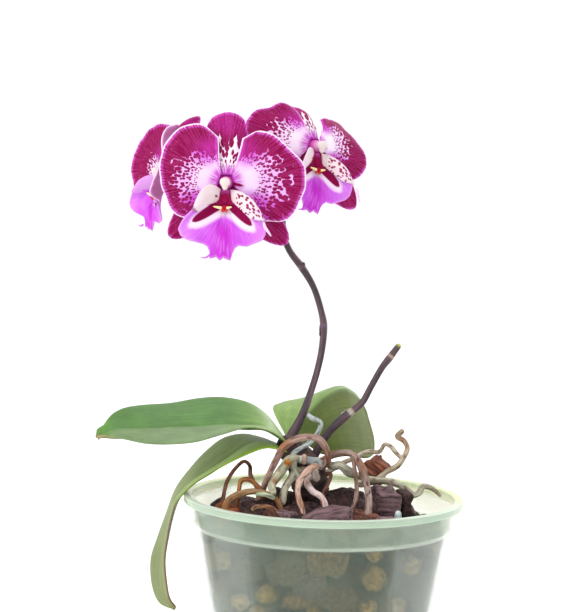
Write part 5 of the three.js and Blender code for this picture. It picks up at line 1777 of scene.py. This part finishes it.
def inked_share(bench, shaken):
    """1 where the stain is thicker than the place is far from its spot's centre, else 0."""
    size = bench.fade(bench.apart(spot_cells(bench, shaken, "Color"), "X"), 0.0, 1.0, 1.25, 0.8)
    away = bench.sum("MULTIPLY", spot_cells(bench, shaken, "Distance"), size)
    return bench.fade(bench.sum("SUBTRACT", bench.mark("stain"), away), -0.05, 0.05)


def lively_ink(bench, shaken, rays):
    """The ink mark with darker clouds, brighter rays and pink flecks that follow the rays."""
    clouds = bench.fade(bench.noise(bench.place(), 150.0, 2.0), 0.38, 0.66, 0.0, 0.45)
    deep = bench.mix(clouds, bench.mark("ink", "Color"), "76083a")
    bright = bench.mix(bench.fade(rays, 0.35, 0.7, 0.0, 0.16), deep, "c8288c")
    away = spot_cells(bench, bench.stretch(shaken, (9.5, 8.5, 1.0)), "Distance")
    fleck = bench.fade(away, 0.14, 0.34, 0.5, 0.0)
    fleck = bench.sum("MULTIPLY", fleck, bench.fade(rays, 0.42, 0.56, 0.1, 1.0))
    return bench.mix(fleck, bright, "e070be")


def margined(bench, painted, rays):
    """A pink fringe that runs in from the margin along the rays, and a white line at the edge."""
    rim = bench.sum("SUBTRACT", bench.mark("edge"), bench.fade(rays, 0.3, 0.75, 0.0, 0.4))
    fringe = bench.sum("MULTIPLY", bench.fade(rim, 2.4, 0.8), bench.fade(rays, 0.35, 0.6, 0.15, 0.95))
    fringed = bench.mix(fringe, painted, "d25cc8")
    return bench.mix(bench.fade(rim, 0.65, 0.35), fringed, "f4def5")


def flower_finish():
    bench = Bench("waxy_petal", roughness=0.6, specular_ior_level=0.04, subsurface_weight=0.1)
    bench.set(subsurface_radius=(1.0, 0.35, 0.6), subsurface_scale=0.0015)
    place = bench.mark("cells", "Vector")
    shake = bench.shift(bench.noise(place, 1.3, 2.0, "Color"), (-0.5, -0.5, -0.5))
    shaken = bench.shift(place, bench.stretch(shake, (0.45, 0.45, 0.0)))
    rays = bench.noise(bench.stretch(place, (0.3, 3.4, 1.0)), 1.0, 3.0)
    ink = lively_ink(bench, shaken, rays)
    painted = bench.mix(inked_share(bench, shaken), bench.mark("ground", "Color"), ink)
    front = margined(bench, painted, rays)
    faint = bench.mix(0.55, front, "cf8fc6")
    bench.set(base_color=bench.mix(bench.mark("back"), front, faint))
    bench.bump(rays, 0.00012, 0.5)
    return bench.material


flower = flower_finish()
print("the petals' finish has", len(flower.node_tree.nodes), "nodes")

# %% [markdown]
# ## Blooms: lip and column
#
# The lip is the third petal, shaped as a landing place. Its apron hangs down from the throat
# and ends in a torn, many-pointed edge; two wings stand up beside the throat, and a cream
# callus with two horns sits where all three meet. The column above it is the white knob that
# holds the pollen. Each part is a closed surface of its own, and their colours are worked out
# per point: a crimson bar slants down each side of the apron with a white band below it, and
# pink veins run down the middle lobe. The left bloom's lip is plain lilac, without bars.

# %% Lip shapes
LIP_THROAT = (0.0, -8.0, 2.5)
LIP_OUTLINE = [
    (-1, 13), (-0.85, 20.4), (-0.76, 24), (-0.665, 24.9), (-0.57, 24.2), (-0.46, 22.6),
    (-0.34, 21.6), (-0.26, 21.8), (-0.2, 23.8), (-0.178, 26.8), (-0.1, 25.5), (-0.045, 26.8),
    (0, 25.4), (0.09, 26.9), (0.125, 24), (0.18, 21.7), (0.25, 20.9), (0.36, 22.7),
    (0.46, 23.1), (0.6, 24.3), (0.69, 23.8), (0.76, 22.4), (0.87, 20), (1, 15.5),
]
APRON_HALF = math.radians(76)


def apron_ray(u, v):
    """How far a place on the apron is from the throat: the outline's length at v times
    (0.06 + 0.94 u)."""
    knots, lengths = np.array(LIP_OUTLINE).T
    return np.interp(v, knots, lengths) * (0.06 + 0.94 * u)


def apron_place(scale):
    """A fan from the throat at angle 76 v from straight down. It comes forwards by
    u (4.5 + 6.5 v^2), crowns in the middle and is gently folded."""

    def place(u, v):
        length = scale * apron_ray(u, v)
        turn = -math.pi / 2 + APRON_HALF * v
        crown = 2.5 * np.sin(math.pi * u) * (1 - v**2)
        pleats = 0.35 * u * np.cos(26 * v) * np.exp(-((v / 0.4) ** 2))
        folds = pleats + 0.5 * u**2 * np.sin(9 * v + 0.5)
        forward = LIP_THROAT[2] + u * (4.5 + 6.5 * v**2) + crown + folds
        x, y = length * np.cos(turn), LIP_THROAT[1] + length * np.sin(turn)
        return packed(x, y, forward)

    return place


WING_THROAT = (3.0, -8.2, 3.4)
WINGS = {  # root, crest and tip of the free edge, and the foot of the low line
    -1: [(-2.0, -3.0, 3), (-9.6, 4.4, 9), (-14.0, -12.2, 13), (-12.0, -13.2, 11.5)],
    1: [(2.1, -3.0, 3), (13.4, -2.6, 10), (18.4, -16.4, 14), (12.0, -15.6, 12)],
}


def wing_place(scale, side):
    """From a low line, throat to foot, to a free edge, the curve
    (1-u)^2 root + 2u(1-u) crest + u^2 tip, bowed forwards between the two. The root stays at
    the column whatever the lip's scale."""
    throat = np.array([side, 1, 1]) * WING_THROAT
    root, *ends = np.array(WINGS[side])
    crest, tip, foot = (LIP_THROAT + (end - LIP_THROAT) * (scale, scale, 1) for end in ends)

    def place(u, v):
        t = u[..., None]
        low = throat + (foot - throat) * t
        free = (1 - t) ** 2 * root + 2 * t * (1 - t) * crest + t**2 * tip
        share = ((v + 1) / 2)[..., None]
        point = low + (free - low) * share
        bow = np.sin(math.pi * share[..., 0]) * np.sin(math.pi * (0.1 + 0.8 * u))
        point[..., 2] += 1.6 * bow + 0.25 * np.sin(12 * u) * share[..., 0]
        return point

    return place


print("the lip's longest ray is", max(length for _, length in LIP_OUTLINE), "mm")

# %% Lip colours
BARS = [((-3.0, -2.0), (-14.2, -9.4), 2.3), ((2.6, -1.4), (12.6, -10.5), 2.3)]


def beyond_bar(x, y, start, tip, half):
    """How far a place on the apron lies outside a bar that runs from start to a pointed tip,
    its half width half (1 - a^3)^0.5 at the share a. x and y count from the throat."""
    way = np.subtract(tip, start)
    along = np.clip(((x - start[0]) * way[0] + (y - start[1]) * way[1]) / (way @ way), 0, 1)
    off = np.hypot(x - start[0] - along * way[0], y - start[1] - along * way[1])
    return off - half * np.sqrt(1 - along**3)


def apron_colours(barred):
    """The ground colour of the apron: lilac pink, deeper and veined down the middle lobe and
    pale along the edge. A barred one has a crimson bar slanting down each side, with a white
    band under it, and every one a wine-red heart."""
    lilac, deep, pale, light = (colour(code) for code in ("cc5fe2", "c035c6", "f4e6f4", "e6acf2"))

    def ground(u, v, face):
        length = apron_ray(u, v)
        x, y = length * np.sin(APRON_HALF * v), -length * np.cos(APRON_HALF * v)
        veins = lumps(packed(64 * v, 5 * u), 2.6, 12)
        toned = tint(np.exp(-((x / 5.5) ** 2)) * ease(-y, 4, 14), lilac, deep)
        toned = tint(0.2 * ease(veins, 0.1, 1.3), toned, "a824ac")
        toned = tint(0.22 * ease(-veins, 0.1, 1.3) + 0.3 * ease(np.abs(x), 9, 17), toned, light)
        toned = tint(0.6 * ease(u, 0.93, 1), toned, light)
        toned = tint(0.6 * ease(-np.hypot(x / 3.4, (y + 4.6) / 2.6), -1.5, -0.6), toned, pale)
        if barred:
            beyond = np.minimum(*(beyond_bar(x, y, *bar) for bar in BARS))
            under = np.minimum(*(beyond_bar(0.97 * x, y + 1.7, *bar) for bar in BARS))
            toned = tint(0.9 * ease(-under, -2.4, -0.3), toned, pale)
            crimson = tint(0.35 * ease(veins, 0, 1), CRIMSON, WINE)
            toned = tint(ease(-beyond, -0.3, 0.2), toned, crimson)
        heart = ease(-np.hypot(x / 5.0, y / 3.0), -1.15, -0.9)
        toned = tint(heart, toned, WINE)
        return toned if face > 0 else tint(0.5, toned, LILAC)

    return ground


NO_MARGIN = 9.0  # an edge mark so far in that neither fringe nor white line is painted


def plain_marks(ground, stain=0.0):
    """Marks for a flower part whose colour is in its ground, apart from a thin stain."""
    return {
        "cells": lambda u, v, face: packed(8 * u, 2.2 * v, 0),
        "stain": lambda u, v, face: stain * ease(u, 0.05, 0.3) + 0 * u,
        "edge": lambda u, v, face: NO_MARGIN + 0 * u,
        "ground": ground,
        "ink": lambda u, v, face: np.broadcast_to(CRIMSON, (*u.shape, 3)),
        "back": lambda u, v, face: 0 * u,
    }


def wing_colours(side, barred):
    """Cream, faintly pink towards the tip, or lilac all over beside a plain apron. The left
    wing carries one dot and a dark tip; the right one is dotted by its stain."""

    def ground(u, v, face):
        first, second = ("e4d3d6", "e8cfe6") if barred else ("d9a0e2", "cf7fdc")
        cream = tint(0.5 * ease(u, 0.4, 1) + 0 * v, first, second)
        if side < 0 and barred:
            dot = ease(-np.hypot((u - 0.14) / 0.05, (v + 0.2) / 0.15), -1.2, -0.8)
            cream = tint(np.maximum(dot, 0.8 * ease(u, 0.93, 0.98)), cream, WINE)
        return cream

    return ground


print(len(BARS), "bars slant down a barred apron")

# %% Knobs and fleshy limbs


def flesh_marks(places, ground):
    """The same marks, for points that lie on no blade. ground is one colour or one a point."""
    none = np.zeros(len(places))
    inks = np.tile(CRIMSON, (len(places), 1))
    marks = {"cells": places, "stain": none, "edge": none + NO_MARGIN, "ink": inks, "back": none}
    return {**marks, "ground": np.broadcast_to(ground, inks.shape)}


def knob(centre, size, ground, rows=18, columns=28):
    """A small rounded lump of flesh: a ball of a size, slightly uneven."""
    ball = squared_ball(rows, columns, 1.0)
    points, quads, triangles = closed_rings(ball, (0, 0, -1), (0, 0, 1))
    uneven = 1 + 0.05 * lumps(points, 1.3, 5)
    points = points * uneven[:, None] * size + centre
    return shell(points, quads, triangles, **flesh_marks(points, ground))


def fleshy_limb(stations, ground, sides, step):
    """A limb of flower flesh. ground gives its colour from the straightened place."""
    made = limb(stations, ground, sides, step)
    made["marks"] = flesh_marks(made["marks"]["skin"], made["marks"]["paint"])
    return made


print("knobs and fleshy limbs share one set of marks")

# %% The lip's small parts
LIP_CLAW = [(0, -2.8, 0.4, 1.3), (0, -5.2, 1.2, 1.4), (0, -7.6, 2.6, 1.8), (0, -10, 4.6, 2.0)]
LIP_HORNS = [
    [(-1.0, -11.2, 6.9, 0.8), (-2.8, -10.9, 7.6, 0.6), (-5.0, -10.5, 7.8, 0.25)],
    [(0.8, -11.2, 6.9, 0.8), (2.0, -10.9, 7.5, 0.55), (3.3, -10.5, 7.7, 0.25)],
]
LIP_CORNER = [
    (18, -16.6, 13.6, 0.5), (18.6, -18.8, 13.6, 0.75), (20, -20.8, 13, 0.6), (21.4, -22.9, 12.4, 0.3),
]
LIP_TENDRIL = [(-5.6, -32.0, 8.6, 0.55), (-7.8, -33.4, 8.8, 0.35), (-10.0, -33.6, 9.2, 0.15)]
COLUMN = [
    (0, 0, -2.4, 2.6), (0, 0, -1.4, 3.2), (0, 0, 0.6, 2.9), (0, 0.3, 3, 2.2),
    (0, 0.4, 5.6, 2.1), (0, -0.2, 7.4, 1.7),
]
THROAT_FLOOR = "8e1046"


def plain_limb(stations, code):
    """A thin limb of flower flesh in one colour."""
    ground = lambda straight: np.broadcast_to(colour(code), straight.shape)
    return fleshy_limb(stations, ground, 12, 0.3)


def throat_floor():
    """The red floor between the wings: it widens downwards from 1.6 to 4.6 mm either side,
    x = v (1.6 + 3 u^1.4), and comes forwards as it goes, its sides a little more."""

    def place(u, v):
        half = 1.6 + 3.0 * np.clip(u, 0, 1) ** 1.4
        return packed(half * v, -2.9 - 7.2 * u, 1.2 + 3.4 * u + 0.7 * v**2)

    def ground(u, v, face):
        red = tint(ease(u, 0.05, 0.4), "b0489c", THROAT_FLOOR)
        return tint(0.5 * np.exp(-((v / 0.3) ** 2)) * ease(u, 0.4, 0.9), red, WINE)

    return blade(place, 0.8, 16, 16, plain_marks(ground))


def callus():
    """Two cream horns over a red cushion, with two smaller bumps in front of it."""
    parts = [plain_limb(horn, "f3e2a4") for horn in LIP_HORNS]
    parts.append(knob((0, -11.2, 6.6), (2.0, 1.4, 1.1), colour("a81238")))
    for x in (-0.8, 0.8):
        parts.append(knob((x, -12.3, 7.0), (0.75, 0.8, 0.7), colour("c2452e"), 10, 14))
    return parts


print("the callus is made of", len(callus()), "lumps")


# %% Lip and column
def lip_shell(scale, barred):
    """Apron, two wings, throat floor, claw, callus and the tendril at a corner of the middle
    lobe. A barred lip also has a pale point that hangs from its right wing."""
    apron = plain_marks(apron_colours(barred))
    parts = [blade(apron_place(scale), PETAL_THICKNESS, 44, 180, apron)]
    for side in (-1, 1):
        marks = plain_marks(wing_colours(side, barred), 0.3 if side > 0 else 0.0)
        parts.append(blade(wing_place(scale, side), PETAL_THICKNESS, 30, 22, marks))
    parts += [throat_floor(), plain_limb(LIP_CLAW, THROAT_FLOOR)]
    if barred:
        parts.append(plain_limb(LIP_CORNER, "ecd0ec"))
    tendril = [(x * scale, (y + 8) * scale - 8, z, radius) for x, y, z, radius in LIP_TENDRIL]
    parts.append(plain_limb(tendril, "c95fe0"))
    return joined(parts + callus())


def column_shell():
    """The column, the cushion behind it that closes the ring of claws, and two pale knobs: the
    anther cap at the column's end and the beak below it."""
    stem = lambda straight: tint(ease(straight[:, 2], 3.0, 8.0), "c0409c", "d8a8cc")
    column = fleshy_limb(COLUMN, stem, 26, 0.4)
    cushion = knob((0, 0, -2.9), (4.7, 4.7, 0.5), colour("b8389a"), 8, 32)
    cap = knob((0, 0.45, 7.2), (2.35, 2.2, 1.5), colour("e2d3d0"))
    beak = knob((0, -1.5, 7.0), (1.35, 1.7, 1.3), colour("e0cfce"), 14, 20)
    return joined([column, cushion, cap, beak])


print("a barred lip has", len(lip_shell(1, True)["points"]), "points")

# %% [markdown]
# ## The three blooms
#
# One loop dresses the blooms: it takes the usual tepals, changes what a bloom does
# differently, and turns and places every point by the same rotation that placed the solids.

# %% Build the blooms
TEPAL_GRID = {"petal": (64, 110), "dorsal": (56, 64), "lateral": (48, 56)}


def set_in_place(made, bloom):
    """Turns and moves a piece from the bloom's own frame to the plant's."""
    made["points"] = made["points"] @ bloom_turn(bloom).T + np.array(bloom["centre"])
    return made


for seed, (name, bloom) in enumerate(BLOOM_PLACES.items()):
    shape = BLOOM_SHAPES[name]
    for kind, usual in TEPALS.items():
        tepal = {**usual, **shape.get(kind, {})}
        steps, strips = TEPAL_GRID[kind.split("_")[0]]
        marks = tepal_marks(kind, tepal, 1 + seed + len(kind))
        made = blade(tepal_place(tepal), PETAL_THICKNESS, steps, strips, marks)
        made = set_in_place(made, bloom)
        slot = "tepal_dark" if kind.startswith("lateral") else "tepal"
        place_piece(f"fine_bloom_{name}_{kind}", made, flower, slot, f"bloom_{name}_{kind}")
    made = lip_shell(shape["lip_scale"], shape["bars"])
    made["points"] = made["points"] @ turned_axes((0, 0, math.radians(shape["lip_turn"]))).T
    lip = set_in_place(made, bloom)
    place_piece(f"fine_bloom_{name}_lip", lip, flower, "lip", f"bloom_{name}_lip")
    knobs = set_in_place(column_shell(), bloom)
    place_piece(f"fine_bloom_{name}_column", knobs, flower, "column", f"bloom_{name}_column")

# %% [markdown]
# ## Closing
#
# The last cell counts the triangles of the dressed plant. The dressed plant must not
# outgrow its solids.

# %% Count the triangles
print("the plant has", total_triangles, "triangles in all")
